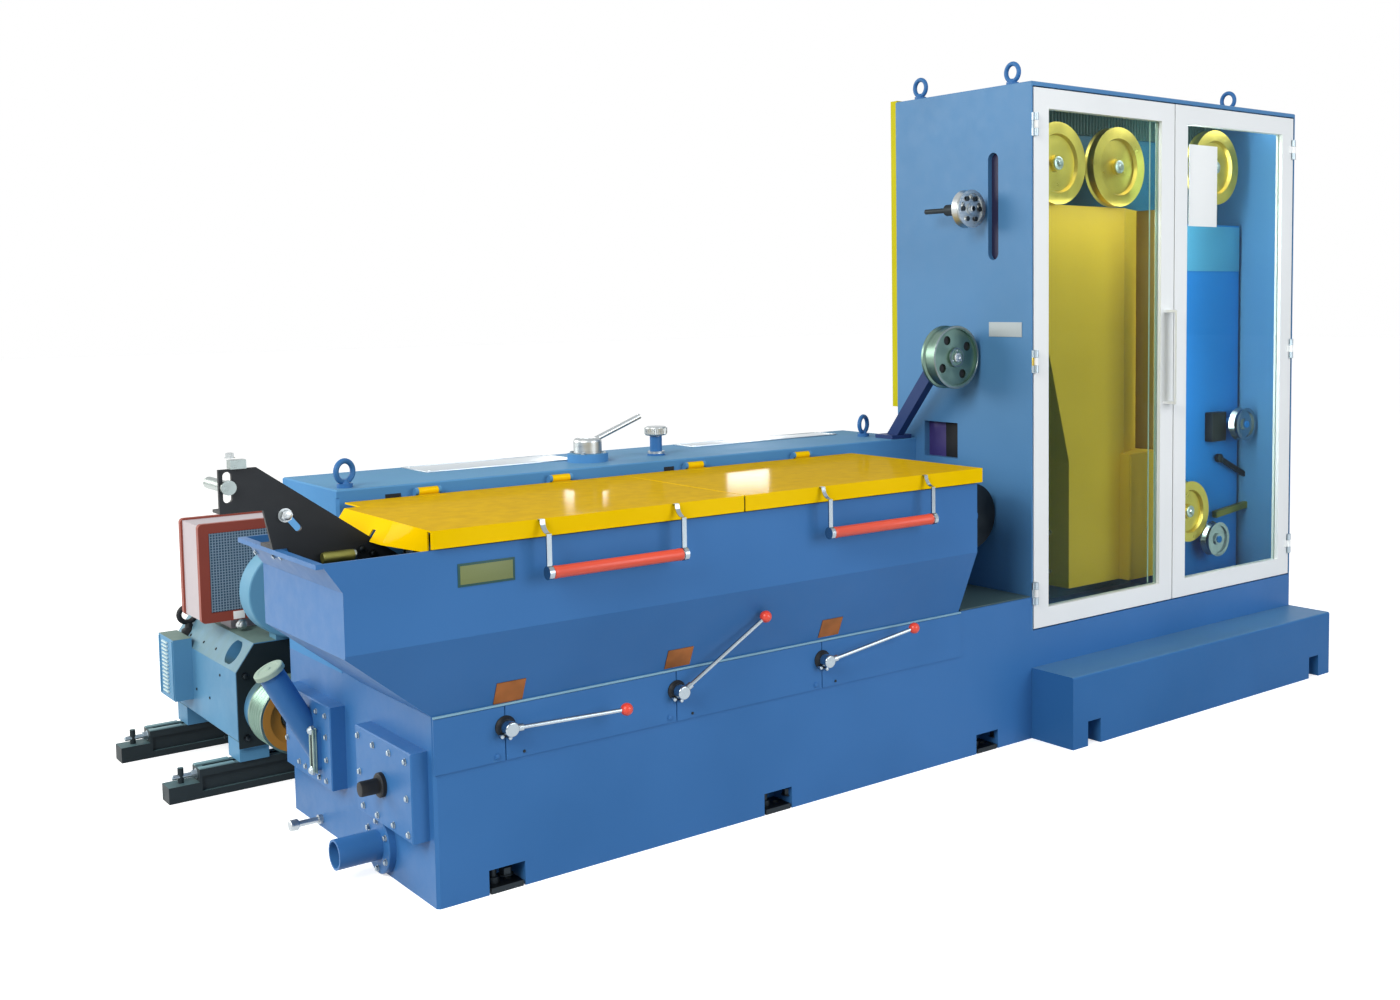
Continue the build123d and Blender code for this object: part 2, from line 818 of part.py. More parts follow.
def lid_handle(places):
    """Two flat hoops from the lid's front edge, and the grip between them."""
    front = lid_front - hoop_reach
    bend = hoop_bend
    parts = None
    for x in places:
        outer = make_face(
            Polyline((lid_front, lid_top), (front + bend, lid_top))
            + RadiusArc((front + bend, lid_top), (front, lid_top - bend), bend)
            + Polyline((front, lid_top - bend), (front, grip_height), (front + hoop_thickness, grip_height),
                       (front + hoop_thickness, lid_top - bend))
            + RadiusArc((front + hoop_thickness, lid_top - bend), (front + bend, lid_top - hoop_thickness),
                        -(bend - hoop_thickness))
            + Polyline((front + bend, lid_top - hoop_thickness), (lid_front, lid_top - hoop_thickness),
                       (lid_front, lid_top)))
        half = hoop_width / 2
        hoop = prism_x(outer, x - half, x + half)
        eye = rod_x(front + hoop_thickness / 2, grip_height, hoop_eye_radius, x - half, x + half)
        parts = hoop + eye if parts is None else parts + hoop + eye
    grip = rod_x(front + hoop_thickness / 2, grip_height, grip_radius, places[0], places[1])
    return parts + grip


save("lid_left", lid_left())
save("lid_right", lid_right())
save("lid_left_handle", lid_handle(hoop_places[0]))
save("lid_right_handle", lid_handle(hoop_places[1]))


# Fittings on the left end of the base

def sight_glass():
    """A raised cover with a level gauge on its face."""
    cover = block(-sight_cover_thickness, 0, sight_cover_front, sight_cover_back,
                  sight_cover_bottom, base_height - sight_cover_drop)
    cover = chamfer(cover.edges().group_by(Axis.X)[0], 3.0)
    front = -sight_cover_thickness - sight_glass_proud
    half = sight_glass_width / 2
    y = sight_cover_front + sight_glass_inset
    z0 = sight_cover_bottom + sight_glass_rise
    z1 = z0 + sight_glass_height
    gauge = block(front, -sight_cover_thickness, y - half, y + half, z0, z1)
    gauge = fillet(gauge.edges().filter_by(Axis.X), half - 1.0)
    gauge -= block(front - 1, front + 5, y - half / 3, y + half / 3, z0 + half, z1 - half)
    return cover + gauge


def inspection_hatch():
    """A raised hatch cover with a hose nipple."""
    cover = block(-hatch_thickness, 0, hatch_margin, hatch_back, hatch_bottom, base_height - hatch_drop)
    nipple_y = hatch_margin + nipple_inset
    nipple_z = hatch_bottom + nipple_rise
    cover = chamfer(cover.edges().group_by(Axis.X)[0], 3.0)
    front = -hatch_thickness - nipple_length
    nipple = rod_x(nipple_y, nipple_z, nipple_flange_radius, -hatch_thickness - 12, -hatch_thickness)
    nipple += rod_x(nipple_y, nipple_z, nipple_radius, front, -hatch_thickness)
    nipple -= rod_x(nipple_y, nipple_z, nipple_radius - 5.0, front - 1, front + 40)
    return cover + nipple


def drain_pipe():
    """A bolted flange with a short open pipe."""
    flange = rod_x(drain_y, drain_z, drain_flange_radius, -drain_flange_thickness, 0)
    flange = chamfer(flange.edges().group_by(Axis.X)[0], 2.0)
    pipe = rod_x(drain_y, drain_z, drain_radius, -drain_reach, -drain_flange_thickness)
    bore = rod_x(drain_y, drain_z, drain_bore_radius, -drain_reach - 1, -drain_flange_thickness)
    return flange + pipe - bore


def drain_tap():
    """A small tap: a stem with a knurled knob."""
    tap_y = sight_cover_front + tap_inset
    stem = rod_x(tap_y, tap_z, tap_stem_radius, -tap_reach, 0)
    collar = rod_x(tap_y, tap_z, 1.5 * tap_stem_radius, -12.0, 0)
    knob = rod_x(tap_y, tap_z, tap_knob_radius, -tap_reach - 22.0, -tap_reach + 4.0)
    knob = fillet(knob.edges().filter_by(GeomType.CIRCLE), 4.0)
    return stem + collar + knob


def filler_neck():
    """A slanting filler tube with a screw cap, on the face of the sight glass cover."""
    tube = Cylinder(filler_radius, 1.4 * filler_length, align=(Align.CENTER, Align.CENTER, Align.MAX))
    cap = Cylinder(filler_cap_radius, filler_cap_height, align=upright)
    cap = fillet(cap.edges().filter_by(GeomType.CIRCLE), 3.0)
    tilt = math.radians(filler_tilt)
    filler_y = sight_cover_front + filler_inset
    filler_z = sight_cover_bottom + filler_rise
    end = (-sight_cover_thickness - filler_length * math.cos(tilt), filler_y,
           filler_z + filler_length * math.sin(tilt))
    neck = Location(end, (0, filler_tilt - 90.0, 0)) * (tube + cap)
    behind = block(-sight_cover_thickness, 200, filler_y - 100, filler_y + 100, -100, base_height)
    return neck - behind


save("sight_glass", sight_glass())
save("inspection_hatch", inspection_hatch())
save("drain_pipe", drain_pipe())
save("drain_tap", drain_tap())
save("filler_neck", filler_neck())


# Inlet guide

def slotted_hole(length, width):
    """A slot with round ends through the bracket's plate, drawn along X about the origin."""
    reach = (length - width) / 2
    slot = Box(2 * reach, 3 * bracket_thickness, width)
    for end in (-reach, reach):
        slot += rod_y(end, 0, width / 2, -1.5 * bracket_thickness, 1.5 * bracket_thickness)
    return slot


def inlet_bracket():
    """A thick plate from the trough's left rim: a square head, a sloping arm and a foot."""
    y0 = bracket_y - bracket_thickness / 2
    y1 = bracket_y + bracket_thickness / 2
    rim_x = trough_left - flare_out - flare_rim
    wall_x = trough_left + trough_wall
    tail_z = trough_top - bracket_tail_drop
    foot_z = trough_top - bracket_foot_drop
    plate = prism_y(outline([
        (bracket_head_left, bracket_head_bottom), (bracket_head_left, bracket_head_top),
        (bracket_head_right, bracket_head_top), (bracket_tail, tail_z), (bracket_tail, tail_z - 40.0),
        (wall_x + 60.0, foot_z), (wall_x + 1.0, foot_z), (wall_x + 1.0, flare_bottom),
        (rim_x + 36.0, trough_top), (rim_x, trough_top), (rim_x - 20.0, bracket_head_bottom)]), y0, y1)
    pin_slot = slotted_hole(bracket_slot_length, 2 * (roller_pin_radius + bracket_slot_clearance))
    plate -= Location((roller_x, bracket_y, roller_z), (0, 90, 0)) * pin_slot
    arm_slot = slotted_hole(bracket_arm_slot_length, bracket_arm_slot_width)
    plate -= Location((bracket_head_left + bracket_arm_slot_inset, bracket_y,
                       bracket_head_bottom - bracket_arm_slot_drop), (0, bracket_arm_slot_tilt, 0)) * arm_slot
    shelf = block(bracket_head_left, rim_x - 20.0, y1, y1 + bracket_flange,
                  bracket_head_bottom, bracket_head_bottom + bracket_foot_thickness)
    foot = block(rim_x, rim_x + 36.0, y1, y1 + bracket_foot_length,
                 trough_top, trough_top + bracket_foot_thickness)
    return plate + shelf + foot


def inlet_roller():
    """The entry roller on its pin, the clamp on the bracket's head and the guide tube inside."""
    back = bracket_y + bracket_thickness / 2
    front = bracket_y - bracket_thickness / 2
    roller = rod_y(roller_x, roller_z, roller_radius, back, back + roller_reach)
    roller += rod_y(roller_x, roller_z, roller_pin_radius, front, back)
    roller += rod_y(roller_x, roller_z, roller_head_radius, front - 12.0, front)
    middle = (bracket_head_left + bracket_head_right) / 2
    clamp = block(middle - clamp_width / 2, middle + clamp_width / 2, front - 9.0, back + 9.0,
                  bracket_head_top, bracket_head_top + clamp_height)
    tube_y = front - guide_tube_radius
    tube_right = guide_tube_left + guide_tube_length
    tube = rod_x(tube_y, guide_tube_z, guide_tube_radius, guide_tube_left, tube_right)
    tube = fillet(tube.edges().filter_by(GeomType.CIRCLE), 3.0)
    tube -= rod_x(tube_y, guide_tube_z, guide_tube_bore, guide_tube_left - 1, tube_right + 1)
    return [roller, clamp, tube]


save("inlet_bracket", inlet_bracket())
save("inlet_rollers", *inlet_roller())


# Pieces on the gearbox cover

def shift_flange():
    """The round seat of the gear shift."""
    top = cover_level + shift_flange_height
    seat = rod_z(shift_x, shift_y, shift_flange_radius, cover_level, top)
    return seat - rod_z(shift_x, shift_y, shift_spindle_radius + bearing_clearance, cover_level, top + 1)


def shift_lever():
    """A domed hub and a bar that rises to the right."""
    z = cover_level + shift_flange_height + hinge_clearance
    dome = rod_z(shift_x, shift_y, shift_dome_radius, z, z + shift_dome_height)
    dome = fillet(dome.edges().filter_by(GeomType.CIRCLE).group_by(Axis.Z)[-1], 14.0)
    bar = Cylinder(shift_bar_radius, shift_bar_length, align=upright)
    bar = Location((shift_x, shift_y, z + 0.62 * shift_dome_height), (0, 90 - shift_bar_angle, 0)) * bar
    spindle = rod_z(shift_x, shift_y, shift_spindle_radius, z - hinge_clearance - 15.0, z)
    return dome + bar + spindle


def breather():
    """A stem with a knurled cap."""
    top = cover_level + breather_stem
    stem = rod_z(breather_x, shift_y, breather_radius, cover_level, top)
    stem += rod_z(breather_x, shift_y, 1.5 * breather_radius, cover_level, cover_level + 14.0)
    cap = rod_z(breather_x, shift_y, breather_cap_radius, top, top + breather_cap_height)
    return stem + fillet(cap.edges().filter_by(GeomType.CIRCLE), 6.0)


def sheave_arm():
    """A slender leaning bar on a foot plate, with the axle of the deflector sheave."""
    back_of_sheave = sheave_front + sheave_width + arm_gap
    boss_back = back_of_sheave + arm_depth / 2
    foot_x = sheave_x + arm_foot_shift
    foot_top = cover_level + arm_foot_thickness
    start = Vector(foot_x, arm_foot_front + arm_foot_length / 2, cover_level)
    end = Vector(sheave_x, boss_back - 6.0, sheave_z)
    section = Plane(origin=start, x_dir=(1, 0, 0), z_dir=end - start) * Rectangle(arm_width, arm_depth)
    arm = extrude(section, amount=(end - start).length)
    arm -= block(sheave_x - sheave_radius, sheave_x + sheave_radius, sheave_front, back_of_sheave,
                 sheave_z - sheave_radius, sheave_z + sheave_radius)
    arm -= block(foot_x - arm_foot_length, foot_x + arm_foot_length, arm_foot_front - arm_foot_length,
                 arm_foot_front + 2 * arm_foot_length, gearbox_height, foot_top)
    foot = block(foot_x - arm_foot_width / 2, foot_x + arm_foot_width / 2, arm_foot_front,
                 arm_foot_front + arm_foot_length, cover_level, foot_top)
    boss = rod_y(sheave_x, sheave_z, arm_boss_radius, back_of_sheave, boss_back)
    axle = rod_y(sheave_x, sheave_z, axle_radius, sheave_front - 6.0, back_of_sheave)
    return arm + foot + boss + axle


save("shift_seat", shift_flange())
save("shift_lever", shift_lever())
save("breather", breather())
save("sheave_arm", sheave_arm())


# Wheels outside the cabinet

def deflector_sheave():
    """A broad-rimmed wheel with a thin web, a hub and round holes."""
    bore = axle_radius + bearing_clearance
    web = (sheave_width - sheave_web) / 2
    rim_inner = sheave_radius - sheave_rim
    wheel = wheel_y(sheave_x, sheave_z, [
        (bore, 0), (sheave_hub_radius, 0), (sheave_hub_radius, web - 12.0), (rim_inner, web - 12.0),
        (rim_inner, 0), (sheave_radius, 0), (sheave_radius, 9.0), (sheave_radius - 7.0, 14.0),
        (sheave_radius - 7.0, sheave_width - 14.0), (sheave_radius, sheave_width - 9.0),
        (sheave_radius, sheave_width), (rim_inner, sheave_width), (rim_inner, web + sheave_web - 12.0),
        (sheave_hub_radius, web + sheave_web - 12.0), (sheave_hub_radius, sheave_width),
        (bore, sheave_width)],
        sheave_front)
    for hole in ring_of_holes_y(sheave_x, sheave_z, sheave_hole_circle, sheave_hole_radius, sheave_hole_count,
                                sheave_front - 1, sheave_front + sheave_width + 1, 32.0):
        wheel -= hole
    return wheel


def guide_wheel():
    """The small pulley beside the slot."""
    bore = guide_axle_radius + bearing_clearance
    groove = guide_radius - 8.0
    wheel = wheel_y(guide_x, guide_z, [
        (bore, 0), (guide_hub_radius, 0), (guide_hub_radius, 6.0), (guide_radius - 12.0, 6.0),
        (guide_radius - 12.0, 0), (guide_radius, 0), (groove, guide_width / 2), (guide_radius, guide_width),
        (bore, guide_width)], guide_front)
    for hole in ring_of_holes_y(guide_x, guide_z, guide_hole_circle, guide_hole_radius, guide_hole_count,
                                guide_front - 1, guide_front + guide_width + 1, 18.0):
        wheel -= hole
    return wheel


def guide_axle():
    """The small pulley's axle, its collar and the arm that holds it on the cabinet wall."""
    back = guide_front + guide_width + arm_gap
    axle = rod_y(guide_x, guide_z, guide_axle_radius, guide_front - 8.0, guide_front + guide_axle_length)
    arm_y = (guide_front + guide_arm_setback, guide_front + guide_arm_setback + guide_arm_thickness)
    collar = rod_y(guide_x, guide_z, guide_collar_radius, back, arm_y[1] + 30.0)
    arm = block(guide_x, cabinet_left, *arm_y, guide_z - 22.0, guide_z + 22.0)
    pad = block(cabinet_left - 10.0, cabinet_left, arm_y[0] - 20, arm_y[1] + 20,
                guide_z - 40.0, guide_z + 40.0)
    return axle + collar + arm + pad


def exit_capstan():
    """The dark capstan between the trough and the cabinet."""
    bore = exit_axle_radius + bearing_clearance
    return wheel_y(exit_x, exit_z, [
        (bore, 0), (exit_radius, 0), (exit_radius, 12.0), (exit_radius - 8.0, 18.0),
        (exit_radius - 8.0, exit_width - 18.0), (exit_radius, exit_width - 12.0),
        (exit_radius, exit_width), (bore, exit_width)], exit_front)


def exit_axle():
    """The capstan's axle from the gear case."""
    axle = rod_y(exit_x, exit_z, exit_axle_radius, exit_front - 6.0, gearbox_front)
    seat = rod_y(exit_x, exit_z, 2.2 * exit_axle_radius, exit_front + exit_width + arm_gap, gearbox_front)
    return axle + seat


save("deflector_sheave", deflector_sheave())
save("guide_wheel", guide_wheel())
save("guide_wheel_axle", guide_axle())
save("exit_capstan", exit_capstan())
save("exit_capstan_axle", exit_axle())


# Cabinet shell

def step_box():
    """The step along the cabinet's foot, with two levelling pockets."""
    body = block(cabinet_left, cabinet_right, -step_depth, 0, 0, step_height)
    body = fillet(body.edges().filter_by(Axis.X).group_by(Axis.Z)[-1].sort_by(Axis.Y)[0], 8.0)
    for x in (cabinet_left + step_pocket_margin, cabinet_right - step_pocket_margin):
        half = step_pocket_width / 2
        body -= block(x - half, x + half, -step_depth - 1, -step_depth + pocket_depth, -1, step_pocket_height)
    return body


def side_wall(x0, x1, outer_x, inward):
    """A cabinet side wall, with a thin flange that runs forward beside the doors."""
    wall = block(x0, x1, door_depth + 2.0, cabinet_depth, plinth_height, roof_bottom)
    near, far = sorted((outer_x, outer_x + inward * wall_flange))
    return wall + block(near, far, 0, door_depth + 3.0, plinth_height, roof_bottom)


def left_wall():
    """The wall that faces the drawing base, with its slot and the wire opening."""
    wall = side_wall(cabinet_left, cabinet_left + cabinet_wall, cabinet_left, 1)
    x0 = cabinet_left - 1
    x1 = cabinet_left + cabinet_wall + 1
    radius = slot_width / 2
    wall -= block(x0, x1, slot_y - radius, slot_y + radius, slot_bottom + radius, slot_top - radius)
    wall -= rod_x(slot_y, slot_bottom + radius, radius, x0, x1)
    wall -= rod_x(slot_y, slot_top - radius, radius, x0, x1)
    return wall - block(x0, x1, wire_opening_front, wire_opening_front + wire_opening_width,
                        wire_opening_bottom, wire_opening_bottom + wire_opening_height)


def roof():
    """The flat roof, over the doors as well."""
    plate = block(cabinet_left, cabinet_right, 0, cabinet_depth, roof_bottom, cabinet_height)
    return chamfer(plate.faces().sort_by(Axis.Z)[-1].edges(), 3.0)


def rear_doors():
    """Two flat rear doors that stand out behind the cabinet."""
    middle = (cabinet_left + cabinet_right) / 2
    y0 = cabinet_depth
    top = cabinet_height + rear_door_rise
    bottom = top - rear_door_height
    half_gap = rear_door_margin / 2
    left = block(cabinet_left + rear_door_margin, middle - half_gap, y0, y0 + rear_door_depth, bottom, top)
    right = block(middle + half_gap, cabinet_right - rear_door_margin, y0, y0 + rear_door_depth, bottom, top)
    return [left, right]


save("cabinet_plinth", block(cabinet_left, cabinet_right, 0, cabinet_depth, 0, plinth_height))
save("step_box", step_box())
save("cabinet_left_wall", left_wall())
save("cabinet_right_wall", side_wall(cabinet_right - cabinet_wall, cabinet_right, cabinet_right, -1))
save("cabinet_roof", roof())
save("cabinet_back", block(cabinet_left + cabinet_wall, cabinet_right - cabinet_wall,
                           cabinet_depth - cabinet_back_thickness, cabinet_depth,
                           plinth_height, roof_bottom))
save("rear_doors", *rear_doors())
eyes = [lifting_eye(x, y, cover_level, 20.0) for x, y in gearbox_eyes]
eyes += [lifting_eye(x, y, cabinet_height, 90.0) for x in cabinet_eyes_x for y in cabinet_eyes_y]
eyes.append(lifting_eye(motor_x, motor_front + motor_eye_setback, hood_top, 0.0))
save("lifting_eyes", *eyes)


# Inside the cabinet

def mounting_panel():
    """The upright panel that carries the wheels, with their fixed axles."""
    panel = block(cabinet_left + cabinet_wall, cabinet_right - cabinet_wall, panel_front,
                  panel_front + panel_thickness, plinth_height, roof_bottom)
    for x, z, radius in brass_wheels[:3]:
        panel += rod_y(x, z, axle_radius, brass_front - 4.0, panel_front)
        panel += rod_y(x, z, 2.4 * axle_radius, brass_front + brass_width + arm_gap, panel_front)
    return panel


def brass_wheel(x, z, radius):
    """A dished contact wheel with a grooved rim."""
    bore = axle_radius + bearing_clearance
    return wheel_y(x, z, [
        (bore, 0), (brass_hub_radius, 0), (brass_hub_radius, brass_dish_depth),
        (0.68 * radius, brass_dish_depth), (0.72 * radius, 0), (radius, 0), (radius - 6.0, 8.0),
        (radius - 6.0, brass_width - 8.0), (radius, brass_width), (bore, brass_width)], brass_front)


def chrome_wheel(x, z, radius):
    """A small guide pulley."""
    bore = axle_radius + bearing_clearance
    return wheel_y(x, z, [
        (bore, 0), (24.0, 0), (24.0, 7.0), (radius - 14.0, 7.0), (radius - 14.0, 0), (radius, 0),
        (radius - 9.0, chrome_width / 2), (radius, chrome_width), (bore, chrome_width)], chrome_front)


def winding_cover():
    """The tall tapered cover and the box on its lower right."""
    inside = roof_bottom - plinth_height
    waist_x = cabinet_left + cover_waist_share * cabinet_length
    low, middle, high = [plinth_height + share * inside for share in cover_waist_shares]
    left = cabinet_left + cabinet_wall + cover_left_margin
    bottom = plinth_height + cover_bottom_gap
    cover = prism_y(outline([
        (waist_x, bottom), (waist_x, low), (waist_x - cover_waist_step, middle), (left, high),
        (left, cover_top), (cover_right, cover_top), (cover_right, bottom)]), cover_front, panel_front)
    bend = cover_right - cover_fold_width
    fold = cover_front + cover_fold_depth
    cover -= extrude(Plane.XY * outline([
        (bend, cover_front), (cover_right - cover_edge_width, fold), (cover_right + 1, fold),
        (cover_right + 1, cover_front - 1), (bend, cover_front - 1)]), cabinet_height)
    box_right = cover_right - side_box_margin
    side_box = block(box_right - side_box_width, box_right, side_box_share * cabinet_depth, panel_front,
                     bottom, bottom + side_box_height)
    return cover + side_box


def machine_housing():
    """The blue housing behind the right door, with the axles of the wheels in front of it."""
    body = block(housing_left, housing_right, cover_front, panel_front, plinth_height, housing_top)
    x, z, radius = brass_wheels[3]
    body += rod_y(x, z, axle_radius, brass_front - 4.0, cover_front)
    body += rod_y(x, z, 2.4 * axle_radius, brass_front + brass_width + arm_gap, cover_front)
    for x, z, radius in chrome_wheels:
        body += rod_y(x, z, axle_radius, chrome_front - 4.0, cover_front)
        body += rod_y(x, z, 1.8 * axle_radius, chrome_front + chrome_width + arm_gap, cover_front)
    return body


save("mounting_panel", mounting_panel())
for number, (x, z, radius) in enumerate(brass_wheels, start=1):
    save("brass_wheel_" + str(number), brass_wheel(x, z, radius))
for number, (x, z, radius) in enumerate(chrome_wheels, start=1):
    save("chrome_wheel_" + str(number), chrome_wheel(x, z, radius))
save("winding_cover", winding_cover())
save("machine_housing", machine_housing())


# Glazed doors

door_middle = cabinet_left + cabinet_length / 2
door_bottom = plinth_height + door_bottom_gap
door_top = roof_bottom - door_bottom_gap
door_edge = wall_flange + door_gap
door_hinge_heights = (door_bottom + door_hinge_margin, (door_bottom + door_top) / 2,
                      door_top - door_hinge_margin)
door_spans = ((cabinet_left + door_edge, door_middle - door_gap / 2),
              (door_middle + door_gap / 2, cabinet_right - door_edge))


def door_frame(x0, x1, hinge_x):
    """A welded frame with a groove for its pane, and the moving knuckles of its hinges."""
    frame = block(x0, x1, 0, door_depth, door_bottom, door_top)
    frame -= block(x0 + door_stile, x1 - door_stile, -1, door_depth + 1,
                   door_bottom + door_rail, door_top - door_rail)
    pane = pane_block(x0, x1)
    frame -= pane
    for z in door_hinge_heights:
        half = door_hinge_length / 2
        third = door_hinge_length / 6
        y = -door_hinge_proud
        frame -= rod_z(hinge_x, y, door_knuckle_radius + door_knuckle_gap, z - half - 2.0, z + half + 2.0)
        knuckle = rod_z(hinge_x, y, door_knuckle_radius, z - third, z + third)
        toward = 1 if hinge_x < door_middle else -1
        near, far = sorted((hinge_x, hinge_x + toward * (door_knuckle_radius + 12.0)))
        knuckle += block(near, far, y, 1.0, z - third, z + third)
        frame += knuckle
        frame -= rod_z(hinge_x, y, door_pin_radius + bearing_clearance, z - half, z + half)
    return frame


def pane_block(x0, x1):
    """The pane's own block, held in the frame's groove."""
    inset_x = door_stile - glass_edge
    inset_z = door_rail - glass_edge
    back = door_depth - glass_back
    return block(x0 + inset_x, x1 - inset_x, back - glass_thickness, back,
                 door_bottom + inset_z, door_top - inset_z)


def door_pins(hinge_x, wall_x):
    """The fixed halves of a door's hinges: pins with their outer knuckles and leaves."""
    pins = []
    for z in door_hinge_heights:
        half = door_hinge_length / 2
        third = door_hinge_length / 6
        y = -door_hinge_proud
        pin = rod_z(hinge_x, y, door_pin_radius, z - half, z + half)
        for low, high in ((z - half, z - third - hinge_clearance), (z + third + hinge_clearance, z + half)):
            pin += rod_z(hinge_x, y, door_knuckle_radius, low, high)
            near, far = sorted((hinge_x, wall_x))
            pin += block(near, far, y, y + 5.0, low, high)
            inner = wall_x + (wall_flange if hinge_x > wall_x else -wall_flange)
            near, far = sorted((inner, wall_x))
            pin += block(near, far, y, 0, low, high)
        pins.append(pin)
    return pins


def pull_handle():
    """A square pull on the left door: a flat grip on two arms."""
    x = door_spans[0][1] - door_stile / 2
    x0 = x - handle_width / 2
    x1 = x + handle_width / 2
    z0 = door_bottom + handle_share * (door_top - door_bottom) - handle_length / 2
    z1 = z0 + handle_length
    grip = block(x0, x1, -handle_reach, -handle_reach + handle_bar, z0, z1)
    low = block(x0, x1, -handle_reach, 0, z0, z0 + handle_bar)
    high = block(x0, x1, -handle_reach, 0, z1 - handle_bar, z1)
    return grip + low + high


door_hinges_x = (door_spans[0][0] + door_hinge_inset, door_spans[1][1] - door_hinge_inset)
save("door_left_frame", door_frame(*door_spans[0], door_hinges_x[0]) + pull_handle())
save("door_left_glass", pane_block(*door_spans[0]))
save("door_right_frame", door_frame(*door_spans[1], door_hinges_x[1]))
save("door_right_glass", pane_block(*door_spans[1]))
hinge_pins = door_pins(door_hinges_x[0], cabinet_left) + door_pins(door_hinges_x[1], cabinet_right)
save("door_hinge_pins", *hinge_pins)


# Motor unit

def slide_rail(front):
    """A slotted slide rail with a low nose and its jacking screw."""
    x0 = motor_x - rail_half_length
    x1 = motor_x + rail_half_length
    back = front + rail_width
    rail = block(x0 + rail_nose, x1, front, back, 0, rail_height)
    rail += block(x0, x0 + rail_nose, front, back, 0, rail_nose_height)
    slot = 0.28 * rail_width
    side = (rail_width - slot) / 2
    rail -= block(x0 + rail_nose + 20.0, x1 - 20.0, front + side, back - side,
                  rail_height - 22.0, rail_height + 1)
    rail -= block(x0 + rail_nose + 8.0, x1 + 1, front - 1, front + 12.0, 22.0, rail_height - 22.0)
    rail += rod_z(x0 + rail_nose / 2, front + rail_width / 2, jack_screw_radius,
                  rail_nose_height, rail_height + 8.0)
    return rail


def motor_body():
    """The square motor frame with bevelled corners, its hood, feet, terminal box and shaft."""
    x0 = motor_x - motor_half_width
    x1 = motor_x + motor_half_width
    z0 = motor_z - motor_half_height
    z1 = motor_z + motor_half_height
    cut = motor_chamfer
    frame = prism_y(outline([
        (x0, z0 + cut), (x0, z1), (motor_x - hood_half_width, hood_top),
        (motor_x + hood_half_width, hood_top), (x1, z1), (x1, z0 + cut), (x1 - cut, z0), (x0 + cut, z0)]),
        motor_front, motor_back)
    slope_x = motor_half_width - hood_half_width
    slope_z = hood_top - z1
    lean = math.degrees(math.atan2(slope_z, slope_x))
    port_y = motor_front + motor_port_setback
    for side in (-1, 1):
        place = (motor_x + side * (motor_half_width + hood_half_width) / 2, port_y, (z1 + hood_top) / 2)
        port = Cylinder(motor_port_radius, 2 * motor_port_depth)
        port += Location((0, -motor_port_radius / 2, 0)) * Cylinder(motor_port_radius, 2 * motor_port_depth)
        frame -= Location(place, (0, side * lean, 0)) * port
    bell = rod_y(motor_x, motor_z, motor_bell_radius, motor_front - motor_bell_length, motor_front)
    shaft = rod_y(motor_x, motor_z, motor_shaft_radius, pulley_front + 10.0, motor_front)
    for front in rail_fronts:
        for x in (x0 + foot_inset, x1 - foot_inset - foot_width):
            frame += block(x, x + foot_width, front - 8.0, front - 8.0 + foot_length, rail_height, z0 + 22.0)
    box_y = motor_front + terminal_box_setback
    frame += block(x0 - terminal_box_depth, x0, box_y, box_y + terminal_box_length,
                   terminal_box_bottom, terminal_box_bottom + terminal_box_height)
    return frame + bell + shaft


def motor_pulley():
    """A grooved pulley with a dished front face."""
    land = pulley_width / (pulley_groove_count + 1)
    bore = motor_shaft_radius + bearing_clearance
    profile = [(bore, pulley_dish_depth), (pulley_dish_radius, pulley_dish_depth),
               (pulley_dish_radius, 0), (pulley_radius, 0)]
    for index in range(pulley_groove_count):
        middle = land * (index + 1)
        profile += [(pulley_radius, middle - 0.42 * land), (pulley_radius - pulley_groove, middle),
                    (pulley_radius, middle + 0.42 * land)]
    profile += [(pulley_radius, pulley_width), (motor_shaft_radius + bearing_clearance, pulley_width)]
    return wheel_y(motor_x, motor_z, profile, pulley_front)


def blower_housing():
    """The fan scroll on the motor, its duct down to the hood and its inlet from the filter."""
    drum = rod_y(blower_x, blower_z, blower_radius, blower_front, blower_back)
    drum = fillet(drum.edges().filter_by(GeomType.CIRCLE), 6.0)
    duct = block(blower_x - blower_duct, blower_x + blower_duct, motor_front + 2.0, blower_back,
                 hood_top, blower_z)
    inlet = rod_y(blower_x, blower_z, blower_inlet_radius, blower_back, filter_front)
    return drum + duct + inlet


def filter_box():
    """The air filter's shell between its two frames, and its foot on the hood."""
    step = filter_step
    y0 = filter_front + filter_frame_depth
    y1 = filter_back - filter_frame_depth
    shell = block(filter_left + step, filter_right - step, y0, y1, filter_bottom + step, filter_top - step)
    foot = block(motor_x - filter_foot_half_width, motor_x + filter_foot_half_width, y0 + filter_foot_margin,
                 y1 - filter_foot_margin, hood_top, filter_bottom + step)
    return shell + foot


def filter_frames():
    """The two flanged frames at the ends of the filter."""
    frames = []
    for y in (filter_front, filter_back - filter_frame_depth):
        frame = block(filter_left, filter_right, y, y + filter_frame_depth, filter_bottom, filter_top)
        frame = fillet(frame.edges().filter_by(Axis.Y), 14.0)
        if y == filter_front:
            frame -= block(filter_left + filter_frame, filter_right - filter_frame, y - 1, y + 8.0,
                           filter_bottom + filter_frame, filter_top - filter_frame)
        frames.append(frame)
    return frames


save("slide_rails", *[slide_rail(front) for front in rail_fronts])
save("motor_body", motor_body())
save("motor_pulley", motor_pulley())
save("blower_housing", blower_housing())
save("filter_box", filter_box())
save("filter_frames", *filter_frames())
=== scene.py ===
# %% [markdown]
# # A wire drawing machine in Blender
#
# The machine pulls wire through a row of dies in its blue trough, over a sheave and up into a glazed
# cabinet. Its solid parts come in from the CAD as a fixed frame. This notebook gives them their
# paint, metal and glass, adds what is too small for the CAD (bolts, plates, grips, gauges, louvres),
# and stands the machine in a plain photo studio.

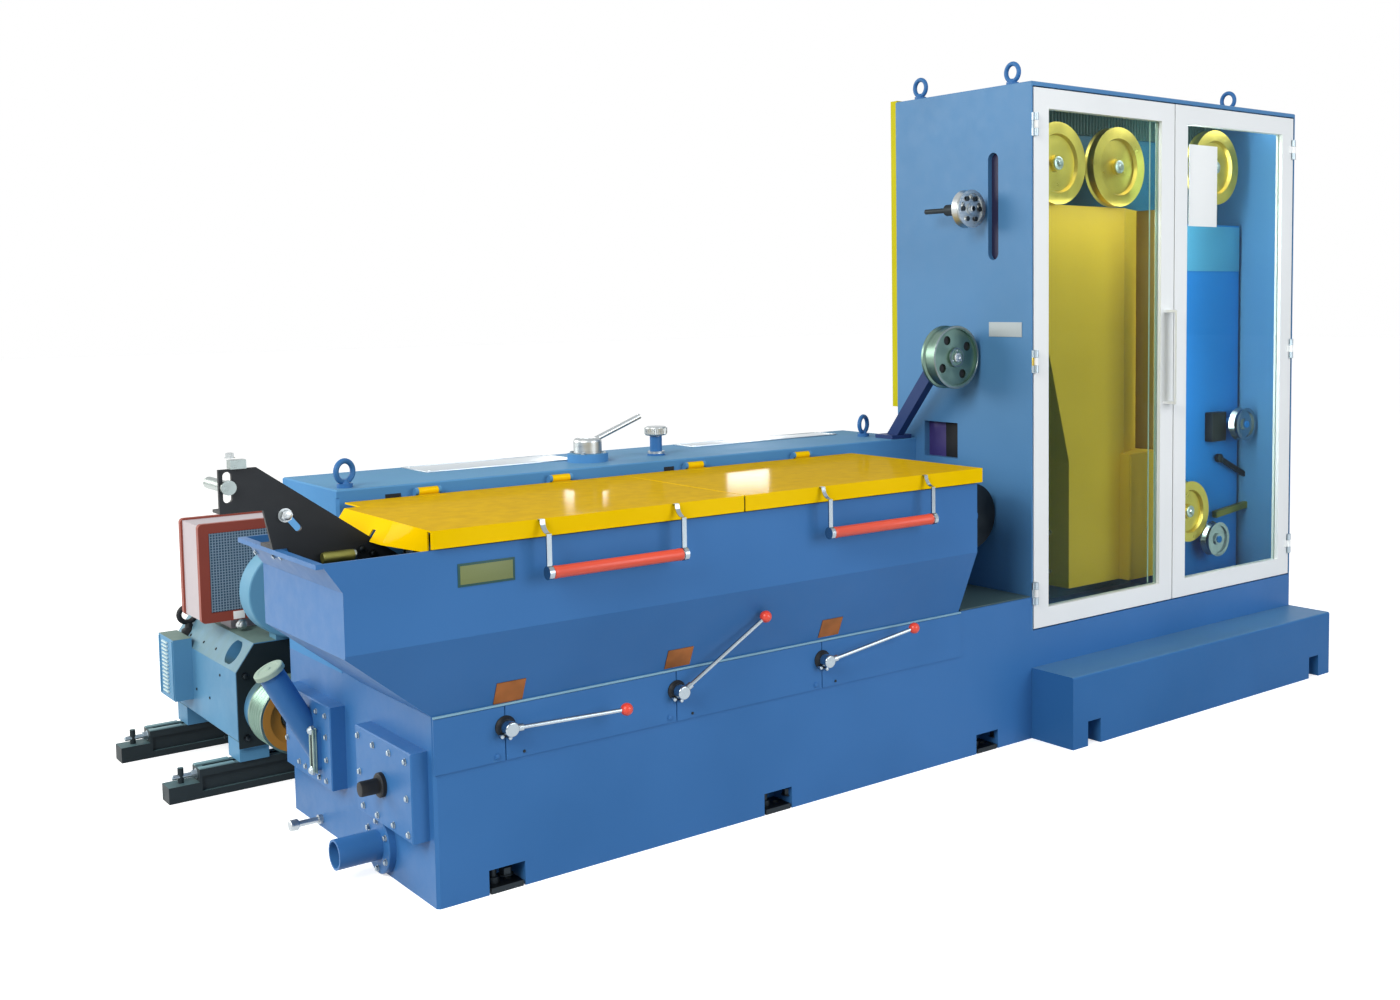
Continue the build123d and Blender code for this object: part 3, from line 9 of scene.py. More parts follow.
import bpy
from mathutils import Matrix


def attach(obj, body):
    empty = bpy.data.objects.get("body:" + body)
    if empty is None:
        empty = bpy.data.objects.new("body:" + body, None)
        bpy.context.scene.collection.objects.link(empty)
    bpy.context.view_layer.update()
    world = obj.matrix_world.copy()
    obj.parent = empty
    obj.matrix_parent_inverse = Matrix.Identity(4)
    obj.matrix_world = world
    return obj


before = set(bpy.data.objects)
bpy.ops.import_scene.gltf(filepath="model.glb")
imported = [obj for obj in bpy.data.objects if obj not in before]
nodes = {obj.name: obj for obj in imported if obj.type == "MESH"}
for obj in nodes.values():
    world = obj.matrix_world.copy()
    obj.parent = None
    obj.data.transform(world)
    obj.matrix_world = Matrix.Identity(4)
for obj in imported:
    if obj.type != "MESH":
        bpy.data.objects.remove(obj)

# %% Tools and a fixed seed for the random turns
import math
import random

import bmesh
import bpy
from mathutils import Matrix, Vector

random.seed(7)
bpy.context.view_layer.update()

# %% [markdown]
# ## Places
#
# The drawing of the machine is in millimetres, counted from the front left corner of the base on the
# floor: X along the machine, Y towards its back, Z up. The shared frame is in metres and counts from
# the middle of the base. One function turns the first into the second, so every number below can be
# read off the drawing.

# %% Drawing places
BASE_MIDDLE = (1103.5, 510.0)
MM = 0.001


def at(x, y, z):
    """A drawing place in millimetres as a place in the shared frame in metres."""
    return Vector(((x - BASE_MIDDLE[0]) * MM, (y - BASE_MIDDLE[1]) * MM, z * MM))


print("front left corner of the base:", tuple(round(c, 4) for c in at(0, 0, 0)))

# %% [markdown]
# ## Colours and shader nodes
#
# Colours are picked as sRGB hex codes, because that is how they read on a screen. Shaders work in
# linear light, so one function converts every code. A second small function adds any shader node,
# sets its inputs or links them, and nothing more, so each material below reads from top to bottom.

# %% Colour and node helpers
def linear(code):
    """An sRGB hex code as linear light with full alpha."""
    channels = [int(code[i:i + 2], 16) / 255 for i in (1, 3, 5)]
    return tuple(c / 12.92 if c <= 0.04045 else ((c + 0.055) / 1.055) ** 2.4 for c in channels) + (1.0,)


def add(tree, kind, inputs=None, **settings):
    """Adds one shader node. An input given as a socket is linked, anything else is set."""
    made = tree.nodes.new("ShaderNode" + kind)
    for key, value in settings.items():
        setattr(made, key, value)
    for key, value in (inputs or {}).items():
        if isinstance(value, bpy.types.NodeSocket):
            tree.links.new(value, made.inputs[key])
        else:
            made.inputs[key].default_value = value
    return made


def start_material(name):
    """An empty material, its node tree, and the object's own coordinates in metres."""
    material = bpy.data.materials.new(name)
    material.use_nodes = True
    tree = material.node_tree
    tree.nodes.clear()
    return material, tree, add(tree, "TexCoord").outputs["Object"]


def per_metre(size):
    """The scale of a noise texture whose spots are a size in millimetres."""
    return 1000.0 / size


print("mid grey #808080 is", round(linear("#808080")[0], 3), "in linear light")

# %% [markdown]
# ## Sprayed enamel
#
# Nearly all of the machine is iron or steel plate, filled, sanded and sprayed with an alkyd enamel.
# Such paint is a dielectric: metallic 0, an IOR of 1.5 and a roughness of 0.4 to 0.6, because the
# gloss dulls in a workshop. What the eye reads as paint is the unevenness: an orange peel of 2 to
# 3 mm, slow waves of the filled plate about 150 mm long, and patches of half a metre where the spray
# fell thicker. Dust settles on what faces up. The peel is drawn 8 mm across, because one picture
# pixel is about 3 mm here and a true peel would only flicker.

# %% Enamel
ORANGE_PEEL = 8
PLATE_WAVES = 150
SPRAY_PATCHES = 520
SCUFFS = 45
DUST = "#84AEB4"


def enamel(name, colour, rough=0.42, shine=0.2, tone=0.05, dust=0.0, settled_colour=DUST, steepest=0.55,
           peel=0.02, waves=0.06, coat=0.0):
    """Sprayed enamel. shine is its specular level and tone how much its patches differ.

    A surface holds dust where its normal's Z is over steepest, and holds all of it at 0.98.
    """
    material, tree, place = start_material(name)
    patches = add(tree, "TexNoise", {"Vector": place, "Scale": per_metre(SPRAY_PATCHES), "Detail": 2.0})
    scuffs = add(tree, "TexNoise", {"Vector": place, "Scale": per_metre(SCUFFS), "Detail": 5.0,
                                    "Roughness": 0.6})
    paint = linear(colour)
    thick = tuple(c * (1 - tone) for c in paint[:3]) + (1.0,)
    thin = tuple(min(1.0, c * (1 + tone) + 0.004) for c in paint[:3]) + (1.0,)
    blend = add(tree, "MapRange", {"Value": patches.outputs["Fac"], "From Min": 0.35, "From Max": 0.65})
    toned = add(tree, "Mix", {"Factor": blend.outputs["Result"], "A": thick, "B": thin}, data_type="RGBA")
    normal = add(tree, "SeparateXYZ", {"Vector": add(tree, "NewGeometry").outputs["Normal"]})
    upward = add(tree, "MapRange", {"Value": normal.outputs["Z"], "From Min": steepest, "From Max": 0.98,
                                    "To Max": dust})
    blots = add(tree, "MapRange", {"Value": scuffs.outputs["Fac"], "From Min": 0.3, "From Max": 0.7,
                                   "To Min": 0.7, "To Max": 1.15})
    settled = add(tree, "Math", {0: upward.outputs["Result"], 1: blots.outputs["Result"]},
                  operation="MULTIPLY", use_clamp=True)
    dusty = add(tree, "Mix", {"Factor": settled.outputs["Value"], "A": toned.outputs["Result"],
                              "B": linear(settled_colour)}, data_type="RGBA")
    gloss = add(tree, "MapRange", {"Value": scuffs.outputs["Fac"], "From Min": 0.3, "From Max": 0.7,
                                   "To Min": rough * 0.9, "To Max": rough * 1.12})
    slow = add(tree, "TexNoise", {"Vector": place, "Scale": per_metre(PLATE_WAVES), "Detail": 1.0})
    fine = add(tree, "TexNoise", {"Vector": place, "Scale": per_metre(ORANGE_PEEL), "Detail": 1.0})
    plate = add(tree, "Bump", {"Height": slow.outputs["Fac"], "Strength": waves, "Distance": 0.004})
    skin = add(tree, "Bump", {"Height": fine.outputs["Fac"], "Strength": peel, "Distance": 0.0006,
                              "Normal": plate.outputs["Normal"]})
    shader = add(tree, "BsdfPrincipled", {
        "Base Color": dusty.outputs["Result"], "Roughness": gloss.outputs["Result"], "IOR": 1.5,
        "Specular IOR Level": shine, "Coat Weight": coat, "Coat Roughness": 0.1,
        "Normal": skin.outputs["Normal"]})
    add(tree, "OutputMaterial", {"Surface": shader.outputs["BSDF"]})
    return material


blue = enamel("blue_enamel", "#336AA4")
wall_blue = enamel("cabinet_blue_enamel", "#4A7EAE")
step_blue = enamel("scuffed_blue_enamel", "#2C639B", shine=0.1, dust=0.22)
dusty_blue = enamel("dusty_blue_enamel", "#4D86BA", rough=0.6, shine=0.04, dust=0.3)
# A paler blue for a strip on the base's top edge: a painted highlight for the light that edge catches.
blue_painted_highlight = enamel("blue_painted_highlight_enamel", "#7FA9BE", rough=0.5, dust=0.5)
panel_blue = enamel("panel_blue_enamel", "#255C76", tone=0.08)
housing_blue = enamel("housing_blue_enamel", "#1F72C0", tone=0.06, shine=0.1, peel=0.01)
# A paler blue for a band on the housing: a painted reflection.
housing_painted_reflection = enamel("housing_painted_reflection_enamel", "#4A92BC", tone=0.08)
yellow = enamel("yellow_enamel", "#E8BF00", rough=0.5, shine=0.0, tone=0.03, dust=0.8,
                settled_colour="#C09A1A", coat=0.05, waves=0.04)
edge_yellow = enamel("rear_door_yellow_enamel", "#BEB800", rough=0.5, shine=0.1, tone=0.03)
# A darker brown copy of the ochre that paints the shade on the winding cover's fold.
ochre_painted_shade = enamel("ochre_painted_shade_enamel", "#7A6530", rough=0.5)
ochre = enamel("ochre_enamel", "#DDB53A", rough=0.4, shine=0.12, peel=0.01)
white = enamel("white_enamel", "#E8EBEB", rough=0.45, tone=0.02)
black = enamel("black_enamel", "#12171C", rough=0.5, shine=0.25, tone=0.2)
motor_paint = enamel("grey_blue_motor_enamel", "#5289B0", rough=0.5, tone=0.1, dust=1.3,
                     settled_colour="#6C857F", steepest=0.25, peel=0.1)
# For the motor's end plate: partly its own black, partly painted shade for the shade on that end.
motor_end_black_and_shade = enamel("black_green_motor_enamel", "#182429", rough=0.55, tone=0.2, peel=0.1)
blower_paint = enamel("grey_green_blower_enamel", "#649CBC", rough=0.5, tone=0.1, dust=0.3)
rail_paint = enamel("black_rail_enamel", "#1D282D", rough=0.55, tone=0.2, dust=0.3, peel=0.2)
filter_red = enamel("red_brown_filter_enamel", "#8E4336", rough=0.45, tone=0.1)
filter_shell = enamel("pale_filter_enamel", "#B9B2B9", rough=0.5, tone=0.04)
# A darker copy of the blue for the sheave arm, which paints the shade the arm shows.
arm_painted_shade_blue = enamel("arm_painted_shade_enamel", "#22396C", rough=0.45)
cap_green = enamel("pale_green_cap_enamel", "#93A99C", rough=0.45)
primer = enamel("orange_brown_primer", "#A8762F", rough=0.6, tone=0.15)
# A paler paint for the rails' top lips: a painted highlight.
rail_painted_highlight = enamel("rail_lip_painted_highlight_enamel", "#6F8C92", rough=0.45, dust=0.4)
wire_paint = enamel("grey_violet_wire_enamel", "#869DB0", rough=0.55)
# A pale paint for the louvres: a painted highlight for the light on their lips.
louvre_painted_highlight = enamel("louvre_painted_highlight_enamel", "#B9D2D8", rough=0.4)
print(sum("enamel" in m.name for m in bpy.data.materials), "enamels mixed")

# %% [markdown]
# ## Bare metal
#
# Handles are chromed, wheels are turned from brass and steel, bolts are zinc plated and the plates
# on the gearbox are rolled sheet. A bare metal is metallic 1 and keeps the default IOR: its colour
# is what it reflects. The tool leaves fine marks across the surface. Turning marks are 0.1 to 0.3 mm
# apart, far below a pixel, so they are drawn 2 mm apart, long one way and short the other.

# %% Metal
TOOL_MARKS = 2
LONG_MARKS = 90


def metal(name, colour, rough=0.3, marks_along=None, tone=0.06, bump=0.1):
    """Bare metal. marks_along is the axis that the fine tool marks are counted along."""
    material, tree, place = start_material(name)
    short, long = per_metre(TOOL_MARKS), per_metre(LONG_MARKS)
    stretch = [short if axis == marks_along else long for axis in "XYZ"]
    stretched = add(tree, "Mapping", {"Vector": place, "Scale": stretch})
    grain = add(tree, "TexNoise", {"Vector": stretched.outputs["Vector"], "Scale": 1.0, "Detail": 3.0})
    bare = linear(colour)
    dull = tuple(c * (1 - tone) for c in bare[:3]) + (1.0,)
    bright = tuple(min(1.0, c * (1 + tone)) for c in bare[:3]) + (1.0,)
    blend = add(tree, "MapRange", {"Value": grain.outputs["Fac"], "From Min": 0.35, "From Max": 0.65})
    toned = add(tree, "Mix", {"Factor": blend.outputs["Result"], "A": dull, "B": bright}, data_type="RGBA")
    gloss = add(tree, "MapRange", {"Value": grain.outputs["Fac"], "From Min": 0.3, "From Max": 0.7,
                                   "To Min": rough * 0.8, "To Max": rough * 1.25})
    marks = add(tree, "Bump", {"Height": grain.outputs["Fac"], "Strength": bump, "Distance": 0.0003})
    shader = add(tree, "BsdfPrincipled", {"Base Color": toned.outputs["Result"], "Metallic": 1.0,
                                          "Roughness": gloss.outputs["Result"],
                                          "Normal": marks.outputs["Normal"]})
    add(tree, "OutputMaterial", {"Surface": shader.outputs["BSDF"]})
    return material


chrome = metal("polished_chrome", "#9AA5AC", rough=0.2)
satin_chrome = metal("satin_chrome", "#B4BABC", rough=0.34, marks_along="Z")
turned_steel = metal("turned_steel", "#8F9A99", rough=0.32, marks_along="Y")
dark_turned_steel = metal("dark_turned_steel", "#6E877C", rough=0.36, marks_along="Y", tone=0.12)
zinc = metal("zinc_plated_steel", "#9DAAB2", rough=0.4)
dark_steel = metal("blackened_steel", "#2E3438", rough=0.45)
brass = metal("turned_brass", "#D0B85C", rough=0.34, marks_along="Y", tone=0.1)
old_steel = metal("green_grey_steel", "#8FA39A", rough=0.42, tone=0.12)
old_brass = metal("dull_brass", "#7E7E45", rough=0.5, tone=0.18)
bronze = metal("bronze_plate", "#8E5A34", rough=0.55, tone=0.25, bump=0.3)
aluminium = metal("rolled_aluminium_plate", "#C3CCD2", rough=0.36, marks_along="X", tone=0.05)
print("metals:", [m.name for m in bpy.data.materials if "steel" in m.name or "brass" in m.name])

# %% [markdown]
# ## Moulded plastic and rubber
#
# The handle grips and the lever knobs are moulded red phenolic and nylon: a dielectric with an IOR
# near 1.5, smooth from its mould, so the eye sees one sharp highlight. Rubber is the same kind of
# surface but rough. A shallow grain of 4 mm stands in for the mould's texture, which is really
# nearer 0.5 mm.

# %% Plastic and rubber
MOULD_GRAIN = 4


def moulded(name, colour, rough=0.35, bump=0.05, shine=0.5):
    """A moulded surface with the faint grain of its mould and a little change of tone."""
    material, tree, place = start_material(name)
    grain = add(tree, "TexNoise", {"Vector": place, "Scale": per_metre(MOULD_GRAIN), "Detail": 2.0})
    resin = linear(colour)
    dark = tuple(c * 0.94 for c in resin[:3]) + (1.0,)
    toned = add(tree, "Mix", {"Factor": grain.outputs["Fac"], "A": dark, "B": resin}, data_type="RGBA")
    pits = add(tree, "Bump", {"Height": grain.outputs["Fac"], "Strength": bump, "Distance": 0.0004})
    shader = add(tree, "BsdfPrincipled", {"Base Color": toned.outputs["Result"], "Roughness": rough,
                                          "IOR": 1.5, "Specular IOR Level": shine,
                                          "Normal": pits.outputs["Normal"]})
    add(tree, "OutputMaterial", {"Surface": shader.outputs["BSDF"]})
    return material


grip_red = moulded("orange_red_nylon", "#D8482C", rough=0.38)
knob_red = moulded("red_phenolic", "#E2442F", rough=0.3)
rubber = moulded("black_rubber", "#121518", rough=0.6, bump=0.2, shine=0.3)
dark_green = moulded("dark_green_ribbed_plastic", "#1D4744", rough=0.45, shine=0.3)
notice_white = moulded("bare_notice_sheet", "#F0F3F2", rough=0.5)
seal_green = moulded("pale_green_seal", "#A9C2B8", rough=0.5)
plate_olive = moulded("olive_printed_plate", "#66713F", rough=0.5)
plate_grey = moulded("grey_film_label", "#A3B0B8", rough=0.5)
mat_green = moulded("dark_green_mat", "#3C5558", rough=0.55, bump=0.2)
# A purple blue sheet that paints the shaded far side of the wire opening.
opening_jamb_shade = moulded("opening_jamb_painted_shade", "#39306E", rough=0.5)
# A deep blue sheet that paints the shade inside the cabinet's slot.
slot_painted_shade = moulded("slot_painted_shade_plastic", "#16153A", rough=0.6)
cloth = moulded("dark_filter_cloth", "#436178", rough=0.9)
print("mould grain drawn at", per_metre(MOULD_GRAIN), "spots to the metre")

# %% [markdown]
# ## Door glass
#
# The doors hold 5 mm float glass, IOR 1.52. A flat pane doesn't bend the view, so a clear shader
# with a thin mirror in front looks the same as true refraction, and lamps reach the inside. The
# mirror follows Fresnel. It is switched off on the back of each face, where Blender would take the
# light as leaving glass and turn the pane into a full mirror at a slant.

# %% Glass
MIRROR_SHARE = 0.25
door_glass, tree, _ = start_material("float_glass")
mirror = add(tree, "BsdfGlossy", {"Color": linear("#E6EEEA"), "Roughness": 0.02})
clear = add(tree, "BsdfTransparent", {"Color": linear("#EEF6F2")})
fresnel = add(tree, "Fresnel", {"IOR": 1.52})
behind = add(tree, "NewGeometry").outputs["Backfacing"]
front = add(tree, "Math", {0: 1.0, 1: behind}, operation="SUBTRACT")
share = add(tree, "Math", {0: fresnel.outputs["Fac"], 1: front.outputs["Value"]}, operation="MULTIPLY")
share = add(tree, "Math", {0: share.outputs["Value"], 1: MIRROR_SHARE}, operation="MULTIPLY")
mixed = add(tree, "MixShader", {"Fac": share.outputs["Value"], 1: clear.outputs["BSDF"],
                                2: mirror.outputs["BSDF"]})
add(tree, "OutputMaterial", {"Surface": mixed.outputs["Shader"]})
print("glass keeps", MIRROR_SHARE, "of its mirror image")

# %% [markdown]
# ## Painting the CAD parts
#
# Each CAD part keeps its shape and gets its finish in the first material slot.

# %% Finishes
finishes = {
    blue: ["base_frame", "front_cover_plates", "trough", "sight_glass", "inspection_hatch", "drain_pipe",
           "filler_neck", "exit_capstan_axle", "cabinet_plinth", "lifting_eyes"],
    wall_blue: ["cabinet_left_wall", "cabinet_right_wall", "cabinet_roof", "cabinet_back"],
    step_blue: ["step_box"],
    dusty_blue: ["gearbox_housing", "gearbox_cover", "shift_seat"],
    # The sheave arm's darker blue is painted shade.
    arm_painted_shade_blue: ["sheave_arm"],
    panel_blue: ["mounting_panel"],
    housing_blue: ["machine_housing"],
    yellow: ["lid_left", "lid_right"],
    edge_yellow: ["rear_doors"],
    ochre: ["winding_cover"],
    white: ["door_left_frame", "door_right_frame"],
    black: ["inlet_bracket"],
    motor_paint: ["motor_body"],
    blower_paint: ["blower_housing"],
    rail_paint: ["slide_rails"],
    filter_red: ["filter_frames"],
    filter_shell: ["filter_box"],
    chrome: ["lid_left_handle", "lid_right_handle", "valve_lever_1", "valve_lever_2", "valve_lever_3",
             "chrome_wheel_1", "chrome_wheel_2"],
    satin_chrome: ["shift_lever", "breather", "drain_tap", "guide_wheel"],
    turned_steel: ["inlet_rollers", "drawing_capstans"],
    dark_turned_steel: ["deflector_sheave", "motor_pulley"],
    zinc: ["door_hinge_pins"],
    dark_steel: ["levelling_feet", "die_holders", "guide_wheel_axle", "exit_capstan"],
    brass: ["brass_wheel_1", "brass_wheel_2", "brass_wheel_3", "brass_wheel_4"],
    door_glass: ["door_left_glass", "door_right_glass"],
}
for finish, names in finishes.items():
    for name in names:
        nodes[name].data.materials.clear()
        nodes[name].data.materials.append(finish)
print(sum(len(names) for names in finishes.values()), "of", len(nodes), "parts painted")

# %% [markdown]
# ## Small shapes
#
# A bolt, a plate or a knob is a handful of faces, so each is built straight in a bmesh, at its place
# on the drawing, and then only told which moving body it rides on. Three forms do nearly all of it:
# a box with broken edges, an outline pushed along a direction, and a profile turned about an axis.

# %% Shape helpers
def piece(name, bm, finish, body="frame", smooth=True):
    """Makes one object from a bmesh and lets it ride on a body."""
    bmesh.ops.recalc_face_normals(bm, faces=bm.faces)
    mesh = bpy.data.meshes.new(name)
    bm.to_mesh(mesh)
    bm.free()
    made = bpy.data.objects.new(name, mesh)
    bpy.context.scene.collection.objects.link(made)
    mesh.materials.append(finish)
    for face in mesh.polygons:
        face.use_smooth = smooth
    if smooth:
        made.modifiers.new("edges", "EDGE_SPLIT").split_angle = math.radians(35)
    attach(made, body)


def facing(direction):
    """A rotation that takes +Z to a direction."""
    return Vector((0, 0, 1)).rotation_difference(Vector(direction)).to_matrix().to_4x4()


def add_prism(bm, centre, direction, outline, length):
    """An outline in mm, pushed from a place along a direction."""
    place = Matrix.Translation(at(*centre)) @ facing(direction)
    low = [bm.verts.new(place @ Vector((x * MM, y * MM, 0))) for x, y in outline]
    high = [bm.verts.new(place @ Vector((x * MM, y * MM, length * MM))) for x, y in outline]
    bm.faces.new(low)
    bm.faces.new(high)
    for i in range(len(outline)):
        j = (i + 1) % len(outline)
        bm.faces.new((low[i], low[j], high[j], high[i]))


def add_turned(bm, centre, axis, profile, segments=32, hollow=False):
    """A profile of (distance along the axis, radius) pairs in mm, turned about the axis."""
    place = Matrix.Translation(at(*centre)) @ facing(axis)
    angles = [2 * math.pi * i / segments for i in range(segments)]
    rings = [[bm.verts.new(place @ (Vector((math.cos(a) * radius, math.sin(a) * radius, along)) * MM))
              for a in angles] for along, radius in profile]
    pairs = list(zip(rings, rings[1:])) + ([(rings[-1], rings[0])] if hollow else [])
    for low, high in pairs:
        for i in range(segments):
            j = (i + 1) % segments
            bm.faces.new((low[i], low[j], high[j], high[i]))
    if not hollow:
        bm.faces.new(rings[0])
        bm.faces.new(rings[-1])


def add_box(bm, low, high, bevel=0.0):
    """A box between two corners in mm, with broken edges if bevel is given."""
    a, b = at(*low), at(*high)
    made = bmesh.ops.create_cube(bm, size=1.0)
    bmesh.ops.scale(bm, vec=b - a, verts=made["verts"])
    bmesh.ops.translate(bm, vec=(a + b) / 2, verts=made["verts"])
    if bevel:
        edges = list({e for v in made["verts"] for e in v.link_edges})
        bmesh.ops.bevel(bm, geom=edges, offset=bevel * MM, segments=2, affect="EDGES", profile=0.6)


def add_bar(bm, start, end, width, height):
    """A straight bar of a width and a height between two places in mm at the same Y."""
    along = Vector(end) - Vector(start)
    x, y = height / 2, width / 2
    add_prism(bm, start, along, [(-x, -y), (x, -y), (x, y), (-x, y)], along.length)


def box_piece(name, low, high, finish, body="frame", bevel=0.0):
    """One object that is a single box."""
    bm = bmesh.new()
    add_box(bm, low, high, bevel)
    piece(name, bm, finish, body)


def turned_piece(name, centre, axis, profile, finish, body="frame", segments=40, hollow=False):
    """One object that is a single turned shape."""
    bm = bmesh.new()
    add_turned(bm, centre, axis, profile, segments, hollow)
    piece(name, bm, finish, body)


def round_places(centre, radius, angles, plane="XZ"):
    """Places on a circle about a centre in mm, at angles in degrees."""
    first, second = ("XYZ".index(axis) for axis in plane)
    places = []
    for angle in angles:
        place = list(centre)
        place[first] += radius * math.cos(math.radians(angle))
        place[second] += radius * math.sin(math.radians(angle))
        places.append(place)
    return places


LEFTWARD = (-1, 0, 0)
RIGHTWARD = (1, 0, 0)
FRONTWARD = (0, -1, 0)
UPWARD = (0, 0, 1)
print("a circle of 10 mm starts at", round_places((0, 0, 0), 10, (0, 180))[0])

# %% [markdown]
# ## Grips and knobs
#
# Each lid has a long orange-red tube to lift it by, pushed over the bar between its two chromed
# hoops, and each valve lever ends in a ball of red phenolic. Both are turned shapes: a tube with
# rounded ends, and a ball with the small flat that a moulded ball has where it meets the rod.

# %% Handle grips
GRIP_PLACE = (-144.5, 856)
HOOP_GAP = 8
grip_profile = [(0, 14.0), (1.5, 16.2), (5, 17.0), (12, 17.0), (14, 16.2)]
for side, (left, right) in (("left", (262, 672)), ("right", (1187, 1602))):
    start, length = left + HOOP_GAP, right - left - 2 * HOOP_GAP
    mirrored = [(length - along, radius) for along, radius in reversed(grip_profile)]
    turned_piece(f"grip_{side}", (start, *GRIP_PLACE), RIGHTWARD, grip_profile + mirrored, grip_red,
                 f"lid_{side}", segments=48)
    print("grip", side, "is", length, "mm long")

# %% [markdown]
# The levers' hubs sit on the front plates. Behind each hub is a black flange, which stays on the
# frame. Two small bright screws clamp the rod, and these turn with the lever.

# %% Lever balls, flanges and clamp screws
LEVER_REACH = 325
LEVER_RISE = 44
LEVER_HEIGHT = 440
lever_places = (197.95, 729.825, 1261.69)
lever_angles = (0, 35, 11)
BALL_RADIUS = 17.4
ball_profile = [(BALL_RADIUS * math.sin(math.radians(a)), BALL_RADIUS * math.cos(math.radians(a)))
                for a in range(-66, 86, 8)]
for number, (x, angle) in enumerate(zip(lever_places, lever_angles), start=1):
    lean = math.asin(LEVER_RISE / LEVER_REACH)
    turn = math.radians(angle)
    along = Vector((math.cos(lean) * math.cos(turn), -math.sin(lean), math.cos(lean) * math.sin(turn)))
    ball = Vector((x, -35, LEVER_HEIGHT)) + along * LEVER_REACH
    body = f"valve_lever_{number}"
    turned_piece(f"lever_ball_{number}", tuple(ball), along, ball_profile, knob_red, body)
    turned_piece(f"lever_flange_{number}", (x, -4, LEVER_HEIGHT), FRONTWARD,
                 [(0, 29), (3, 29), (5, 27), (9, 24), (13, 22.5)], black)
    bm = bmesh.new()
    for dx, dz in ((-19, -20), (4, -27)):
        add_turned(bm, (x + dx, -14, LEVER_HEIGHT + dz), FRONTWARD,
                   [(0, 6.5), (9, 6.5), (12, 5.0), (13, 2.0)], segments=16)
    piece(f"lever_screws_{number}", bm, chrome, body)
    print("lever", number, "ball at", tuple(round(c) for c in ball))

# %% [markdown]
# ## Bolts
#
# A hexagon bolt is a washer, a six-sided head and a shallow dome on top. Real ones are never all
# turned the same way, so each gets a random turn. Most of them here are zinc plated and bare.

# %% Bolt helper
def add_bolt(bm, centre, direction, across, height):
    """A hexagon head on its washer, across its flats in mm."""
    corner = across / math.sqrt(3)
    spin = random.uniform(0, math.pi / 3)
    add_turned(bm, centre, direction, [(0, corner * 1.22), (1.2, corner * 1.22)], segments=20)
    hexagon = [(corner * math.cos(spin + i * math.pi / 3), corner * math.sin(spin + i * math.pi / 3))
               for i in range(6)]
    add_prism(bm, centre, direction, hexagon, height)
    add_turned(bm, centre, direction, [(height - 0.5, corner * 0.86), (height + 0.7, corner * 0.7),
                                       (height + 1.2, corner * 0.35)], segments=16)


def bolts(name, places, direction, across, height, finish, body="frame"):
    """One object with bolts at many places."""
    bm = bmesh.new()
    for place in places:
        add_bolt(bm, place, direction, across, height)
    piece(name, bm, finish, body)
    print(name, "has", len(places), "bolts")


# %% [markdown]
# The bolts of the hatch and the sight cover aren't evenly spaced, so each was read off the picture.
# The drain pipe's flange has a true circle of six.

# %% Bolts of the left end
HATCH_FACE = -46
SIGHT_FACE = -44
hatch_places = ((374, 381), (273, 377), (168, 380), (68, 380), (369, 283), (63, 285), (349, 194),
                (255, 192), (151, 193), (58, 192))
sight_places = ((688, 380), (619, 381), (617, 320), (616, 254), (835, 199), (786, 196), (723, 193),
                (676, 190), (622, 192), (930, 250))
bolts("hatch_bolts", [(HATCH_FACE, y, z) for y, z in hatch_places], LEFTWARD, 13, 6, zinc)
bolts("sight_cover_bolts", [(SIGHT_FACE, y, z) for y, z in sight_places], LEFTWARD, 12, 6, zinc)
DRAIN_FLANGE = (-20, 331, 84)
bolts("drain_bolts", round_places(DRAIN_FLANGE, 66, range(30, 390, 60), "YZ"), LEFTWARD, 13, 7, zinc)
FLARE_OUT = (-0.832, 0, -0.555)
bolts("flare_bolts", [(-273, 440, 899), (-279, 285, 909), (-283, 222, 915)], FLARE_OUT, 12, 5, zinc)

# %% [markdown]
# Under each lever a painted bolt and a small dark screw hold the front plate. The inlet bracket hangs
# on two dark nuts, and its slide and its roller's clamp are set with bright ones.

# %% Bolts of the front plates and the bracket
bolts("plate_bolts", [(x - 24.5, -4, 364) for x in lever_places], FRONTWARD, 13, 3, blue)
bolts("plate_screws", [(x + 53, -4, 363) for x in lever_places], FRONTWARD, 6, 2, dark_steel)
bolts("bracket_bolt", [(-279, 195, 1023)], FRONTWARD, 25, 15, satin_chrome)
bolts("bracket_nuts", [(-60, 195, 902), (-90, 195, 917)], FRONTWARD, 15, 8, dark_steel)
bolts("clamp_nut", [(-389, 250, 1170)], UPWARD, 19, 12, satin_chrome)

# %% [markdown]
# ## Fittings of the left end
#
# The sight gauge is a glass tube in a slotted metal guard with a nut at each end. The tube is drawn as a
# plain dark rod between the guard's two upright lips.

# %% Gauge
GAUGE_Y = 672
GAUGE_LOW, GAUGE_HIGH = 208, 340
bm = bmesh.new()
add_box(bm, (-60.5, GAUGE_Y - 17, GAUGE_LOW), (-56, GAUGE_Y + 17, GAUGE_HIGH), 1.5)
for y in (GAUGE_Y - 16, GAUGE_Y + 8):
    add_box(bm, (-68, y, GAUGE_LOW + 4), (-59, y + 8, GAUGE_HIGH - 4), 1.5)
piece("gauge_guard", bm, old_steel)
turned_piece("gauge_tube", (-62, GAUGE_Y, GAUGE_LOW + 16), UPWARD, [(0, 5.5), (100, 5.5)], dark_steel)
bm = bmesh.new()
for z in (GAUGE_LOW + 8, GAUGE_HIGH - 8):
    add_turned(bm, (-60, GAUGE_Y, z), LEFTWARD, [(0, 13), (9, 13), (11, 11), (16, 7), (17, 3)],
               segments=24)
piece("gauge_knobs", bm, zinc)
print("gauge is", GAUGE_HIGH - GAUGE_LOW, "mm high")

# %% [markdown]
# Out of the hatch's middle comes a short hose nipple under a black rubber cap. The oil filler slants
# up at 62 degrees to a pressed cap, enamelled pale green. The wire's guide tube wears a dull brass
# sleeve. All three are turned profiles.

